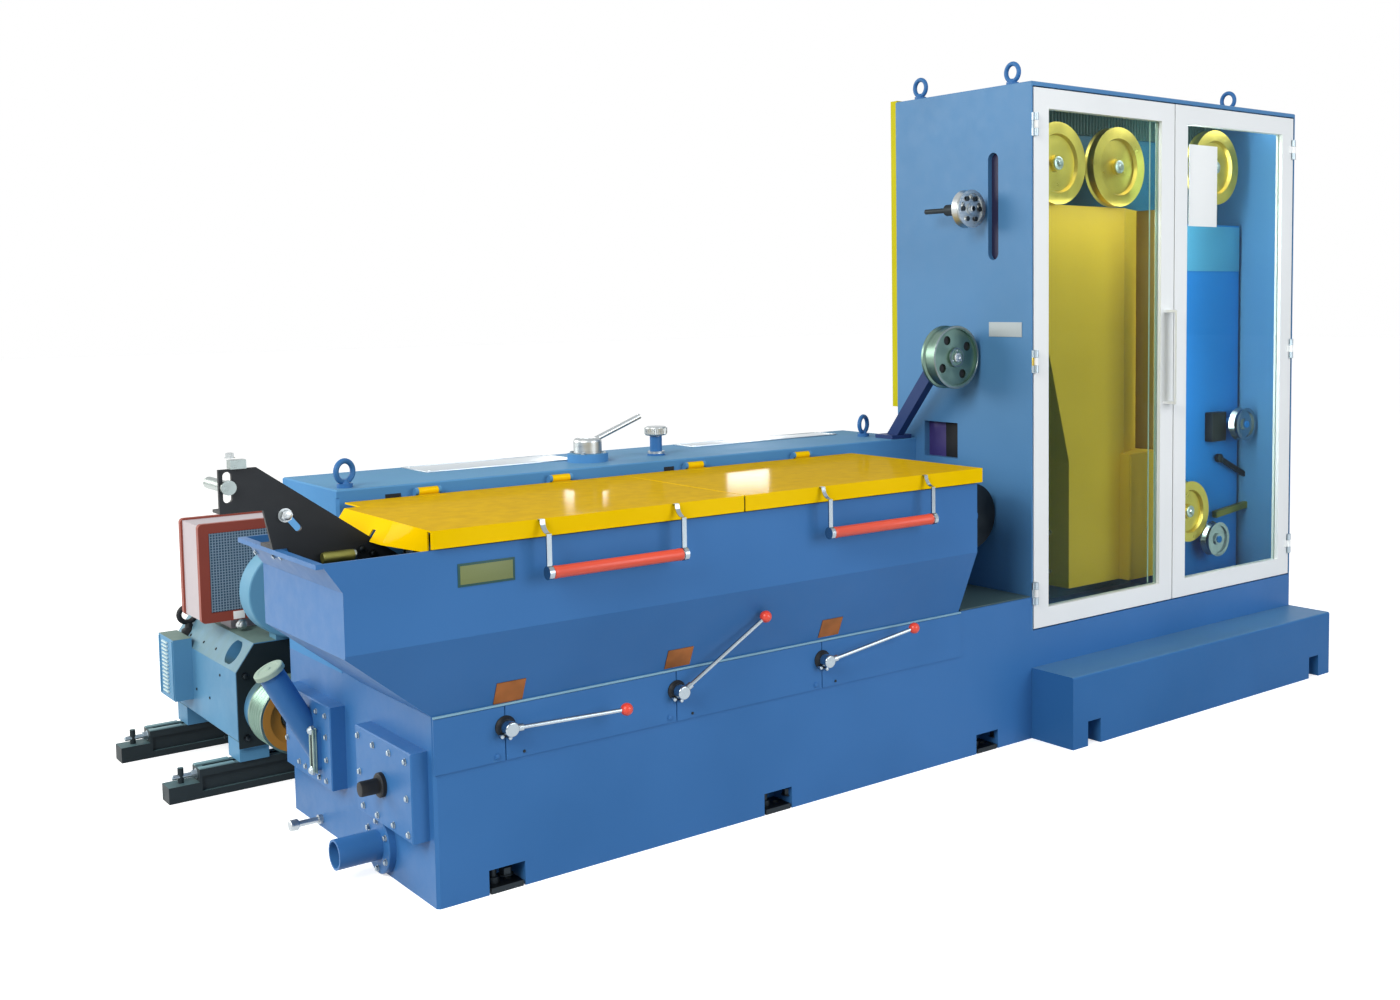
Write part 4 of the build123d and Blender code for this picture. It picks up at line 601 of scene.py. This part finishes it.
# %% Nipple, filler cap and guide tube
turned_piece("nipple_cap", (HATCH_FACE, 220, 283), LEFTWARD,
             [(0, 33), (10, 33), (13, 30), (14, 21), (40, 20.5), (56, 20.5), (61, 19), (62, 14)], rubber)
FILLER_TILT = math.radians(62)
FILLER_LENGTH = 226
filler_axis = (-math.cos(FILLER_TILT), 0, math.sin(FILLER_TILT))
filler_end = (SIGHT_FACE + FILLER_LENGTH * filler_axis[0], 745, 300 + FILLER_LENGTH * filler_axis[2])
cap_profile = [(-3, 41.8), (-2, 43.5), (11, 43.5), (13.5, 41), (14, 30), (12.6, 28), (12.6, 9), (15, 7),
               (16, 3)]
turned_piece("filler_cap", filler_end, filler_axis, cap_profile, cap_green)
turned_piece("guide_tube_sleeve", (-196.5, 181, 907), RIGHTWARD,
             [(0, 8.5), (0, 13), (6, 15), (70, 15), (80, 14.2), (80, 13.9)], old_brass)
print("filler cap at", tuple(round(c) for c in filler_end))

# %% [markdown]
# ## Plates
#
# The trough carries an olive plate in a dark border, and near each valve lever a thin bronze plate
# lies on its slope. All are bare here. A plate on the slope is an outline pushed out along the
# slope's normal.

# %% Plates on the trough
box_piece("name_plate_border", (38, -92, 840), (193, -89.9, 899), dark_green, bevel=0.8)
box_piece("name_plate_face", (44, -93, 846), (187, -91.5, 893), plate_olive, bevel=0.5)
SLOPE_REACH, SLOPE_RISE = 90, 213
slope_out = (0, -0.921, -0.389)
stretch = math.hypot(SLOPE_REACH, SLOPE_RISE) / SLOPE_RISE
bronze_places = ((166, 249, 504, 564), (690, 775, 508, 564), (1246, 1326, 510, 568))
for number, (left, right, low, high) in enumerate(bronze_places, start=1):
    height = (low + high) / 2
    middle = ((left + right) / 2, -(height - 500) * SLOPE_REACH / SLOPE_RISE, height)
    x, y = (right - left) / 2, (high - low) / 2 * stretch
    bm = bmesh.new()
    add_prism(bm, middle, slope_out, [(-x, y), (x, y), (x, -y), (-x, -y)], 2.0)
    piece(f"bronze_plate_{number}", bm, bronze, smooth=False)
    print("bronze plate", number, "is", right - left, "mm wide")

# %% [markdown]
# Two long plates of rolled aluminium lie on the gearbox. Their raised borders and corner rivets
# catch the light. The cabinet's side has a grey film label.

# %% Plates on the gearbox and the cabinet
PLATE_FOOT, PLATE_TOP = 1022, 1024.5
PLATE_BACK = 1005
RIM = 9
RIVET_INSET = 20
for side, x0, x1, y0 in (("left", 367, 887, 815), ("right", 1393, 2060, 880)):
    y1 = PLATE_BACK
    bm = bmesh.new()
    add_box(bm, (x0, y0, PLATE_FOOT), (x1, y1, PLATE_TOP), 0.8)
    for a, b in (((x0, y0), (x1, y0 + RIM)), ((x0, y1 - RIM), (x1, y1)),
                 ((x0, y0 + RIM), (x0 + RIM, y1 - RIM)), ((x1 - RIM, y0 + RIM), (x1, y1 - RIM))):
        add_box(bm, (*a, PLATE_TOP - 0.3), (*b, PLATE_TOP + 1.2), 0.4)
    for x in (x0 + RIVET_INSET, x1 - RIVET_INSET):
        for y in (y0 + RIVET_INSET, y1 - RIVET_INSET):
            add_turned(bm, (x, y, PLATE_TOP - 0.2), UPWARD, [(0, 5), (1.5, 4.5), (2.6, 2.5)],
                       segments=12)
    piece(f"gearbox_plate_{side}", bm, aluminium)
    print(side, "plate is", x1 - x0, "by", y1 - y0, "mm")
box_piece("wall_plate", (2204.5, 45, 1406), (2207.2, 203, 1457), plate_grey, bevel=0.6)

# %% [markdown]
# ## Edges that catch the light
#
# Along the base's top edge, between the front plates and the trough, lies a thin strip in a paler blue. It
# faces up and is a painted highlight for the light that the plates' top edge catches, so it draws a bright
# line through the picture. It stops just past the trough's end. From there to the cabinet a dark rubber
# mat covers the base. Two black patches on the strip behind the lids paint the shade inside two slots
# there.

# %% Painted highlight strip, mat and painted slot shade
HIGHLIGHT_LENGTH = 1858
# The strip's paler blue is a painted highlight on the base's top edge.
box_piece("base_edge_painted_highlight", (0, -6, 495.5), (HIGHLIGHT_LENGTH, 1, 501), blue_painted_highlight, bevel=1.0)
box_piece("base_mat", (1866, 6, 500), (2205, 585, 504), mat_green, bevel=1.0)
# Two black patches that paint the shade inside two slots in the strip behind the lids.
box_piece("strip_slot_shade_left", (141, 588.5, 975), (187, 590.5, 998), black)
box_piece("strip_slot_shade_right", (1085, 588.5, 980), (1123, 590.5, 1000), black)
print("painted highlight strip", HIGHLIGHT_LENGTH, "mm long")

# %% [markdown]
# ## Gear shift and breather
#
# The shift's flange is held by four bolts. The breather's cap is knurled so that it can be turned by
# hand: about forty ridges. A real knurl is finer, near 1.5 mm, and would vanish here.

# %% Shift bolts and breather knurl
bolts("shift_bolts", round_places((895, 750, 1049), 54, (45, 135, 225, 315), "XY"), UPWARD, 11, 6, zinc)
BREATHER = (1158, 750)
RIDGES = 40
KNURL_LOW, KNURL_HIGH = 37.3, 38.9
knurl = []
for i in range(2 * RIDGES):
    radius = KNURL_LOW if i % 2 else KNURL_HIGH
    knurl.append((radius * math.cos(math.pi * i / RIDGES), radius * math.sin(math.pi * i / RIDGES)))
bm = bmesh.new()
add_prism(bm, (*BREATHER, 1095), UPWARD, knurl, 20)
piece("breather_knurl", bm, satin_chrome, smooth=False)
turned_piece("breather_stem", (*BREATHER, 1022), UPWARD, [(0, 30), (6, 30), (9, 20.5), (66, 20.5)], blue)
print(RIDGES, "ridges round the breather")

# %% [markdown]
# ## Sheave and guide wheel
#
# The deflector sheave leads the wire from the last die up into the cabinet. Its steel is dark with oil. A
# thin ring of brighter steel on its rim is a painted highlight, and its hub is a stack of turned rings
# with three screws. The four holes in its web look black with shade, so each is filled with a black disc
# that paints that shade.

# %% Sheave hub, painted rim highlight and painted hole shade
SHEAVE = (2086, 246, 1335)
SHEAVE_HOLES = (2086, 272, 1335)
bm = bmesh.new()
# The outer ring is a painted highlight on the sheave's rim. The inner one is a ring of the hub.
add_turned(bm, SHEAVE, FRONTWARD, [(0, 103), (2.2, 104), (2.2, 110), (0, 111)], segments=72, hollow=True)
add_turned(bm, SHEAVE, FRONTWARD, [(0, 28), (3, 29), (3, 34), (0, 34.5)], segments=48, hollow=True)
piece("sheave_rim_highlight_and_hub_rings", bm, turned_steel, "deflector_sheave")
turned_piece("sheave_cap", SHEAVE, FRONTWARD, [(0, 17), (9, 17), (11, 15), (11.5, 8), (9.5, 7), (9.5, 2)],
             satin_chrome, "deflector_sheave")
bm = bmesh.new()
# Black discs in the four holes paint the shade inside them.
for place in round_places(SHEAVE_HOLES, 70, range(32, 392, 90)):
    add_turned(bm, place, FRONTWARD, [(0, 15.7), (9, 15.7), (9.5, 15)], segments=28)
piece("sheave_hole_painted_shade", bm, rubber, "deflector_sheave")
bolts("sheave_screws", round_places(SHEAVE, 23, (90, 210, 330)), FRONTWARD, 6, 4, zinc,
      "deflector_sheave")

# %% [markdown]
# The small guide wheel above it has six round holes. Dark discs stand for them and paint the shade inside
# them. A bright cap covers its axle.

# %% Guide wheel
GUIDE_WHEEL = (2125, 206, 1853)
bm = bmesh.new()
# Dark discs that paint the shade inside the wheel's six holes.
for place in round_places(GUIDE_WHEEL, 40, range(0, 360, 60)):
    add_turned(bm, place, FRONTWARD, [(0, 9), (1.4, 9), (1.6, 8)], segments=20)
piece("guide_wheel_hole_shade", bm, dark_steel, "guide_wheel")
turned_piece("guide_cap", GUIDE_WHEEL, FRONTWARD, [(0, 11), (7, 11), (8.5, 9), (9, 4)], satin_chrome,
             "guide_wheel")
print("guide wheel is", GUIDE_WHEEL[2], "mm up")

# %% [markdown]
# ## Cabinet doors
#
# Each door turns on three hinges, with zinc leaves at the top and bottom and a brass one in the
# middle. The leaves stay with the cabinet, so they don't move with the door.

# %% Hinge leaves
HALF_LEAF = 32
for name, z, finish in (("low", 513, zinc), ("middle", 1322, brass), ("high", 2131, zinc)):
    for side, left in (("left", 2207.5), ("right", 3763.5)):
        box_piece(f"hinge_leaf_{side}_{name}", (left, -3.0, z - HALF_LEAF),
                  (left + 9, 0.6, z + HALF_LEAF), finish, bevel=0.6)
print("hinge leaves are", 2 * HALF_LEAF, "mm high")

# %% [markdown]
# Two pale green rubber strips show as thin upright lines by the left pane. Behind the right pane
# hangs a printed notice, left bare here.

# %% Seals and notice
for number, x in enumerate((2867, 2905), start=1):
    box_piece(f"glass_seal_{number}", (x, 20.2, 462), (x + 4, 23, 2188), seal_green, "door_left")
box_piece("bare_notice", (3095, 13.6, 1808), (3271, 14.9, 2117), notice_white, "door_right", bevel=0.4)
print("notice is", 3271 - 3095, "mm wide")

# %% [markdown]
# ## Inside the cabinet
#
# The wire runs over four brass wheels in front of the panel. Above them a ribbed dark green cable
# duct crosses the whole panel. Its ribs are 18 mm apart, half round, so a row of turned bars sunk
# into the panel gives the right shading.

# %% Ribbed duct
RIB_PITCH = 18
DUCT_LEFT, DUCT_RIGHT = 2225, 3755
DUCT_LOW, DUCT_HIGH = 2163, 2260
ribs = int((DUCT_RIGHT - DUCT_LEFT) / RIB_PITCH)
bm = bmesh.new()
for i in range(ribs):
    add_turned(bm, (DUCT_LEFT + (i + 0.5) * RIB_PITCH, 326, DUCT_LOW), UPWARD,
               [(0, 8.6), (DUCT_HIGH - DUCT_LOW, 8.6)], segments=12)
piece("ribbed_duct", bm, dark_green)
print(ribs, "ribs")

# %% [markdown]
# Each brass wheel has a bright cap with three screws, which turns with it. Between the first two
# wheels stands a steel rod.

# %% Wheel hubs and guide rod
hub_profile = [(0, 24), (5, 24), (7, 21), (7.5, 12), (13, 11), (15, 9), (15.5, 3)]
brass_places = ((2510, 2026), (2850, 2029), (3452, 2056), (3300, 676))
for number, (x, z) in enumerate(brass_places, start=1):
    bm = bmesh.new()
    add_turned(bm, (x, 152, z), FRONTWARD, hub_profile)
    for place in round_places((x, 145.5, z), 17, (30, 150, 270)):
        add_turned(bm, place, FRONTWARD, [(0, 3.2), (2.4, 3.0), (3, 1.5)], segments=10)
    piece(f"brass_wheel_hub_{number}", bm, satin_chrome, f"brass_wheel_{number}")
turned_piece("guide_rod", (2682, 322, 1870), UPWARD, [(0, 6), (292, 6)], turned_steel)
print(len(brass_places), "hub caps")

# %% [markdown]
# The blue housing has a paler band near its top, which is a painted reflection, and a dark box that paints
# a patch of shadow on it. At its right the ochre winding cover ends in a folded edge, and a strip of
# darker brown ochre there paints the shade that falls on the fold. A narrow strip of the true ochre runs
# down the front of the box beside it.

# %% Painted reflection band, painted shadow box and the cover's edges
# A paler blue band, a painted reflection on the housing.
box_piece("housing_reflection_band", (3153, 202.5, 1642), (3689, 205.5, 1824), housing_painted_reflection, bevel=0.8)
# A dark box that paints a patch of shadow on the housing.
box_piece("housing_shadow_box", (3466, 166, 944), (3560, 205.5, 1064), dark_steel, bevel=3.0)
box_piece("side_box_strip", (2930, 154.5, 452), (2944, 158.5, 928), ochre, bevel=1.2)
# A darker brown ochre strip that paints the shade on the cover's fold.
box_piece("cover_return", (3131, 206, 446), (3144.5, 295.5, 1880), ochre_painted_shade, bevel=1.2)
print("cover's edge is", 1880 - 446, "mm high")

# %% [markdown]
# Low on the housing lies a dull brass arm, and above it a dark handle slants down to the right.
# Farther left are two short steel couplings, the upper one with a red tip.

# %% Arm, handle and couplings
bm = bmesh.new()
add_bar(bm, (3500, 178, 640), (3765, 178, 668), 22, 26)
piece("wheel_arm", bm, old_brass)
bm = bmesh.new()
add_bar(bm, (3540, 186, 871), (3716, 186, 789), 14, 20)
add_turned(bm, (3540, 196, 871), FRONTWARD, [(0, 18), (18, 18), (20, 15)], segments=24)
piece("dark_handle", bm, dark_steel)
turned_piece("fitting_high", (2615, 300, 647), RIGHTWARD, [(0, 8), (120, 8), (121, 6), (128, 6)],
             satin_chrome, segments=20)
turned_piece("fitting_tip", (2743, 300, 647), RIGHTWARD, [(0, 6), (3, 8), (13, 8), (15, 5)], knob_red,
             segments=20)
turned_piece("fitting_low", (2615, 300, 497), RIGHTWARD, [(0, 8), (40, 8), (45, 5)], satin_chrome,
             segments=20)
print("upper coupling is", 2743 + 15 - 2615, "mm long")

# %% [markdown]
# ## Painted shade in the openings
#
# Behind the slot and the wire opening of the cabinet's side stand thin dark sheets in black, purple and
# deep blue. They paint the shade inside the openings, the purple one the shaded far side of the wire
# opening, so the openings look dark from outside.

# %% Painted shade behind the wall's openings
# Black, purple and deep blue sheets that paint the shade inside the openings.
box_piece("opening_shade_near", (2231, 345, 950), (2236, 452, 1096), rubber, bevel=1.0)
box_piece("opening_shade_far", (2232, 452, 950), (2237, 572, 1096), opening_jamb_shade, bevel=1.0)
box_piece("slot_shade_sheet", (2226, 140, 1650), (2231, 226, 2075), slot_painted_shade, bevel=1.0)
print("three shade sheets placed")

# %% [markdown]
# ## Air filter
#
# The blower draws its air through a flat filter: a pale steel box, red-brown frames on its two faces
# and a woven wire guard. The wires of such a guard are about 1 mm thick and 5 mm apart, and they are
# drawn 9 mm apart and 2.4 mm thick so that they show.

# %% Filter guard
WIRE_PITCH = 9
WIRE = 2.4
rows = range(545, 800, WIRE_PITCH)
columns = range(-78, 172, WIRE_PITCH)
bm = bmesh.new()
for z in rows:
    add_box(bm, (-78, 1502.0, z), (174, 1504.0, z + WIRE))
for x in columns:
    add_box(bm, (x, 1501.0, 542), (x + WIRE, 1503.0, 802))
piece("filter_guard", bm, wire_paint, smooth=False)
box_piece("filter_cloth", (-79, 1504.5, 541), (175, 1507, 803), cloth, bevel=0.5)
print("guard with", len(rows), "rows and", len(columns), "columns of wire")

# %% [markdown]
# Low on the filter's frame is a small label, bare here, and under it a bright hose union.

# %% Filter label and union
box_piece("filter_label", (-12, 1497.5, 511), (24, 1500.5, 537), notice_white, bevel=0.6)
turned_piece("filter_union", (9, 1492, 492), FRONTWARD, [(0, 17), (6, 17), (8, 13), (22, 12), (24, 9)],
             satin_chrome)
print("label and union placed")

# %% [markdown]
# ## Motor
#
# The direct current motor has a sloping hood with three small screws and more screws in its side. A
# terminal box stands out from the side, with a column of pressed louvres between two folded rims. The
# louvres are drawn pale, a painted highlight for the light on their lips.

# %% Motor screws and louvres
HOOD_OUT = (-0.825, 0, 0.566)
bolts("hood_screws", [(-60.4, 1809, 413), (-60.2, 1666, 413), (-60.4, 1537, 413)], HOOD_OUT, 7, 2,
      dark_steel)
side_places = ((1440, 347), (1697, 250), (1557, 248), (1415, 148), (1880, 250))
bolts("motor_side_screws", [(-80, y, z) for y, z in side_places], LEFTWARD, 7, 2, dark_steel)
LOUVRE_PITCH = 13
louvres = range(228, 398, LOUVRE_PITCH)
bm = bmesh.new()
for z in louvres:
    add_box(bm, (-146, 1795, z), (-139, 1852, z + 6), 1.8)
# The louvres' pale paint is a painted highlight.
piece("terminal_louvres", bm, louvre_painted_highlight)
bm = bmesh.new()
for y in (1741, 1886):
    add_box(bm, (-143, y, 214), (-139.5, y + 11, 412), 1.0)
piece("terminal_rims", bm, motor_paint)
print(len(louvres), "louvres")

# %% [markdown]
# A black lifting eye stands on the hood's slope. It is a ring of round bar, so a small circle is
# turned about the ring's middle.

# %% Motor eye
EYE = (-58, 1852, 478)
EYE_RING, EYE_BAR, EYE_SIDES = 27.0, 9.0, 14
eye_angles = [2 * math.pi * i / EYE_SIDES for i in range(EYE_SIDES)]
bar_profile = [(-EYE_BAR * math.sin(a), EYE_RING + EYE_BAR * math.cos(a)) for a in eye_angles]
bm = bmesh.new()
add_turned(bm, EYE, FRONTWARD, bar_profile, segments=36, hollow=True)
add_turned(bm, (EYE[0] + 4, EYE[1], 404), UPWARD, [(0, 26), (22, 24), (28, 14), (44, 11)], segments=28)
piece("motor_side_eye", bm, black)
print("eye is", round(2 * (EYE_RING + EYE_BAR)), "mm across")

# %% [markdown]
# A black plate with the outline of its body and hood closes the motor's front end, with four bolts. Its
# black is partly the end's own colour and partly painted shade for the shade that falls on that end.

# %% Motor end plate
END_FACE = 1279.5
end_outline = [(-78, 137), (168, 137), (168, 384), (112, 467), (-20, 467), (-78, 384)]
bm = bmesh.new()
add_prism(bm, (0, END_FACE + 3, 0), FRONTWARD, end_outline, 3)
bmesh.ops.bevel(bm, geom=list(bm.edges), offset=0.8 * MM, segments=1, affect="EDGES")
# The plate's black is partly painted shade.
piece("motor_end_plate", bm, motor_end_black_and_shade)
end_places = [(x, END_FACE, z) for z in (170, 370) for x in (-52, 142)]
bolts("motor_end_bolts", end_places, FRONTWARD, 17, 8, dark_steel)

# %% [markdown]
# The motor drives the gearbox by V-belts in the pulley's five grooves. The pulley's web is cast iron
# in an orange-brown primer, dished towards a dark bush. No belts are fitted here.

# %% Pulley web and bush
web_profile = [(-1, 109), (1.5, 108), (1.5, 86), (-10, 70), (-13, 50), (-20, 46), (-23, 44), (-23, 83)]
turned_piece("pulley_web", (45, 1092, 259), FRONTWARD, web_profile, primer, "motor_pulley",
             segments=64, hollow=True)
turned_piece("pulley_bush", (45, 1114, 259), FRONTWARD,
             [(0, 43), (4, 43), (6, 40), (6, 22), (14, 20), (15, 16)], dark_steel, "motor_pulley")
print("web is dished by", web_profile[1][0] - web_profile[-1][0], "mm")

# %% [markdown]
# The motor stands on two slide rails, so that the belts can be tightened. Each rail has two paler lips, a
# painted highlight for the light along its top edges, and a long screw at its end that pushes the motor
# along.

# %% Rail lips and screws
for number, y in enumerate((1300, 1850), start=1):
    bm = bmesh.new()
    for side in (y, y + 52):
        add_box(bm, (-194, side, 91.5), (-88, side + 22, 96), 1.2)
    # The lips' paler paint is a painted highlight on the rails' top edges.
    piece(f"rail_lips_{number}", bm, rail_painted_highlight)
    bm = bmesh.new()
    add_bolt(bm, (-195, y + 37, 72), LEFTWARD, 24, 14)
    add_turned(bm, (-209, y + 37, 72), LEFTWARD, [(0, 8), (56, 8), (58, 6)], segments=20)
    piece(f"rail_screw_{number}", bm, zinc)
    print("rail", number, "dressed at", y, "mm")

# %% [markdown]
# ## Levelling
#
# Three open pockets in the base's front show levelling pads, each with the dark nut of its bolt.

# %% Levelling nuts
bm = bmesh.new()
pocket_places = (204, 1150, 2050)
for x in pocket_places:
    add_bolt(bm, (x, 30, 34), UPWARD, 30, 20)
piece("levelling_nuts", bm, dark_steel)
print(len(pocket_places), "levelling nuts")

# %% [markdown]
# ## Studio
#
# A catalogue studio is a pale floor, a white surround and a few large soft lamps. The lamps and the
# surround light the machine at a plain level, so that a colour renders about as it is written. What
# the camera sees behind the machine should be white, which is more than that level: Light Path tells
# camera rays from the rays that gather light. Mirror and glass rays get the white too, or metal
# would look black. The floor does the same, and still takes the machine's shadow.

# %% Surround
world = bpy.data.worlds.new("studio")
bpy.context.scene.world = world
world.use_nodes = True
sky = world.node_tree
sky.nodes.clear()
SURROUND_LIGHT = 0.45


def seen_directly(tree):
    """1 for camera, mirror and glass rays, 0 for rays that gather light."""
    rays = add(tree, "LightPath")
    seen = add(tree, "Math", {0: rays.outputs["Is Camera Ray"], 1: rays.outputs["Is Glossy Ray"]},
               operation="ADD")
    seen = add(tree, "Math", {0: seen.outputs["Value"], 1: rays.outputs["Is Transmission Ray"]},
               operation="ADD", use_clamp=True)
    return seen.outputs["Value"]


level = add(sky, "MapRange", {"Value": seen_directly(sky), "To Min": SURROUND_LIGHT, "To Max": 1.0})
glow = add(sky, "Background", {"Color": linear("#FFFFFF"), "Strength": level.outputs["Result"]})
add(sky, "OutputWorld", {"Surface": glow.outputs["Background"]})
print("surround light", SURROUND_LIGHT)

# %% [markdown]
# The floor is matt studio paper. The camera sees it nearly white and glowing a little, so it meets
# the surround without an edge. For the light that it throws back it is a mid grey.

# %% Floor
FLOOR_GLOW = 0.56
FLOOR_WIDTH = 90
FLOOR_SPOTS = 400
floor_paint, tree, place = start_material("pale_studio_floor")
seen = seen_directly(tree)
speckle = add(tree, "TexNoise", {"Vector": place, "Scale": per_metre(FLOOR_SPOTS), "Detail": 2.0})
tint = add(tree, "Mix", {"Factor": speckle.outputs["Fac"], "A": linear("#F3F4F5"), "B": linear("#F8F9FA")},
           data_type="RGBA")
shown = add(tree, "Mix", {"Factor": seen, "A": linear("#A6A8AA"), "B": tint.outputs["Result"]},
            data_type="RGBA")
lift = add(tree, "Math", {0: seen, 1: FLOOR_GLOW}, operation="MULTIPLY")
shader = add(tree, "BsdfPrincipled", {"Base Color": shown.outputs["Result"], "Roughness": 0.8,
                                      "Specular IOR Level": 0.1, "Emission Color": linear("#FFFFFF"),
                                      "Emission Strength": lift.outputs["Value"]})
add(tree, "OutputMaterial", {"Surface": shader.outputs["BSDF"]})
bpy.ops.mesh.primitive_plane_add(size=FLOOR_WIDTH, location=(0, 0, 0))
floor = bpy.context.object
floor.name = "studio_floor"
floor.data.materials.append(floor_paint)
print("floor is", FLOOR_WIDTH, "m wide")

# %% [markdown]
# The key lamp stands high on the left, because the left faces are the lightest in the picture. The
# fill stands to the right of the camera and lights the long front. A wide lamp far back on the left
# stands for a window wall, whose image whitens the high left faces. Two small lamps far behind only
# show as streaks in the lids' gloss. Four strips light what is behind the glass: one under the
# cabinet's roof, one above the ochre cover, and two behind the door frames. The camera doesn't see
# any of them.

# %% Lamps
def soft_lamp(name, place, target, size, power, colour="#FFFFFF"):
    """An area lamp that looks at a target, both in mm. size is its width and height in metres."""
    data = bpy.data.lights.new(name, "AREA")
    data.shape = "RECTANGLE"
    data.size, data.size_y = size
    data.energy = power
    data.color = linear(colour)[:3]
    made = bpy.data.objects.new(name, data)
    bpy.context.scene.collection.objects.link(made)
    ahead = (at(*target) - at(*place)).normalized()
    side = ahead.cross(Vector((0, 0, 1))).normalized()
    turn = Matrix((side, side.cross(ahead), -ahead)).transposed()
    made.matrix_world = Matrix.Translation(at(*place)) @ turn.to_4x4()
    made.visible_camera = False
    print(name, "lamp", power, "W at", place)


soft_lamp("key", (-4200, -1800, 4200), (1000, 300, 700), (3.0, 3.0), 300, "#FFFBF5")
soft_lamp("fill", (3300, -5600, 2600), (1200, 0, 1000), (3.5, 3.5), 190, "#F4F8FF")
soft_lamp("left_wall", (-4800, 6500, 3600), (2207, 350, 1300), (5.0, 3.4), 400, "#FFFBF0")
soft_lamp("window_left", (2748, 4000, 1527), (640, 323, 990), (0.24, 0.07), 4)
soft_lamp("window_right", (3909, 4000, 1506), (1284, 397, 990), (0.26, 0.2), 8)
soft_lamp("cabinet_top", (2990, 60, 2235), (2990, 190, 1700), (1.4, 0.08), 2.8)
soft_lamp("cabinet_cover", (2760, 60, 1885), (2760, 205, 1500), (0.7, 0.05), 0.7)
soft_lamp("cabinet_left", (2262, 60, 1800), (2762, 60, 1800), (0.06, 0.7), 11)
soft_lamp("cabinet_right", (3085, 60, 1500), (3585, 60, 1500), (0.06, 1.5), 6)

# %% [markdown]
# ## Camera
#
# The camera stands where the photographer's did. Its place, its turn and its focal length came from
# fitting corners of the machine to the picture, whose frame is 1400 by 1000 pixels. The optical axis
# isn't in the middle of that frame, because the picture was cropped, and a lens shift allows for it.

# %% Camera
FRAME_WIDTH, FRAME_HEIGHT = 1400, 1000
FOCAL_PIXELS = 1473.64
AXIS_PIXEL = (850.0, 408.63)
CAMERA_PLACE = (-1537.4, -3476.16, 1545.08)
yaw, pitch, roll = 0.69949, 0.07465, 0.00951
forward = Vector((math.sin(yaw) * math.cos(pitch), math.cos(yaw) * math.cos(pitch), -math.sin(pitch)))
level_right = Vector((math.cos(yaw), -math.sin(yaw), 0))
level_down = forward.cross(level_right)
right = level_right * math.cos(roll) + level_down * math.sin(roll)
down = level_down * math.cos(roll) - level_right * math.sin(roll)

camera_data = bpy.data.cameras.new("camera")
camera = bpy.data.objects.new("camera", camera_data)
bpy.context.scene.collection.objects.link(camera)
bpy.context.scene.camera = camera
camera_turn = Matrix((right, -down, -forward)).transposed().to_4x4()
camera.matrix_world = Matrix.Translation(at(*CAMERA_PLACE)) @ camera_turn
camera_data.sensor_fit = "HORIZONTAL"
camera_data.sensor_width = 36.0
camera_data.lens = FOCAL_PIXELS * camera_data.sensor_width / FRAME_WIDTH
camera_data.shift_x = (FRAME_WIDTH / 2 - AXIS_PIXEL[0]) / FRAME_WIDTH
camera_data.shift_y = (AXIS_PIXEL[1] - FRAME_HEIGHT / 2) / FRAME_WIDTH
camera_data.clip_end = 100
bpy.context.scene.view_settings.view_transform = "Standard"
print("lens", round(camera_data.lens, 1), "mm")
print("shift", round(camera_data.shift_x, 3), round(camera_data.shift_y, 3))
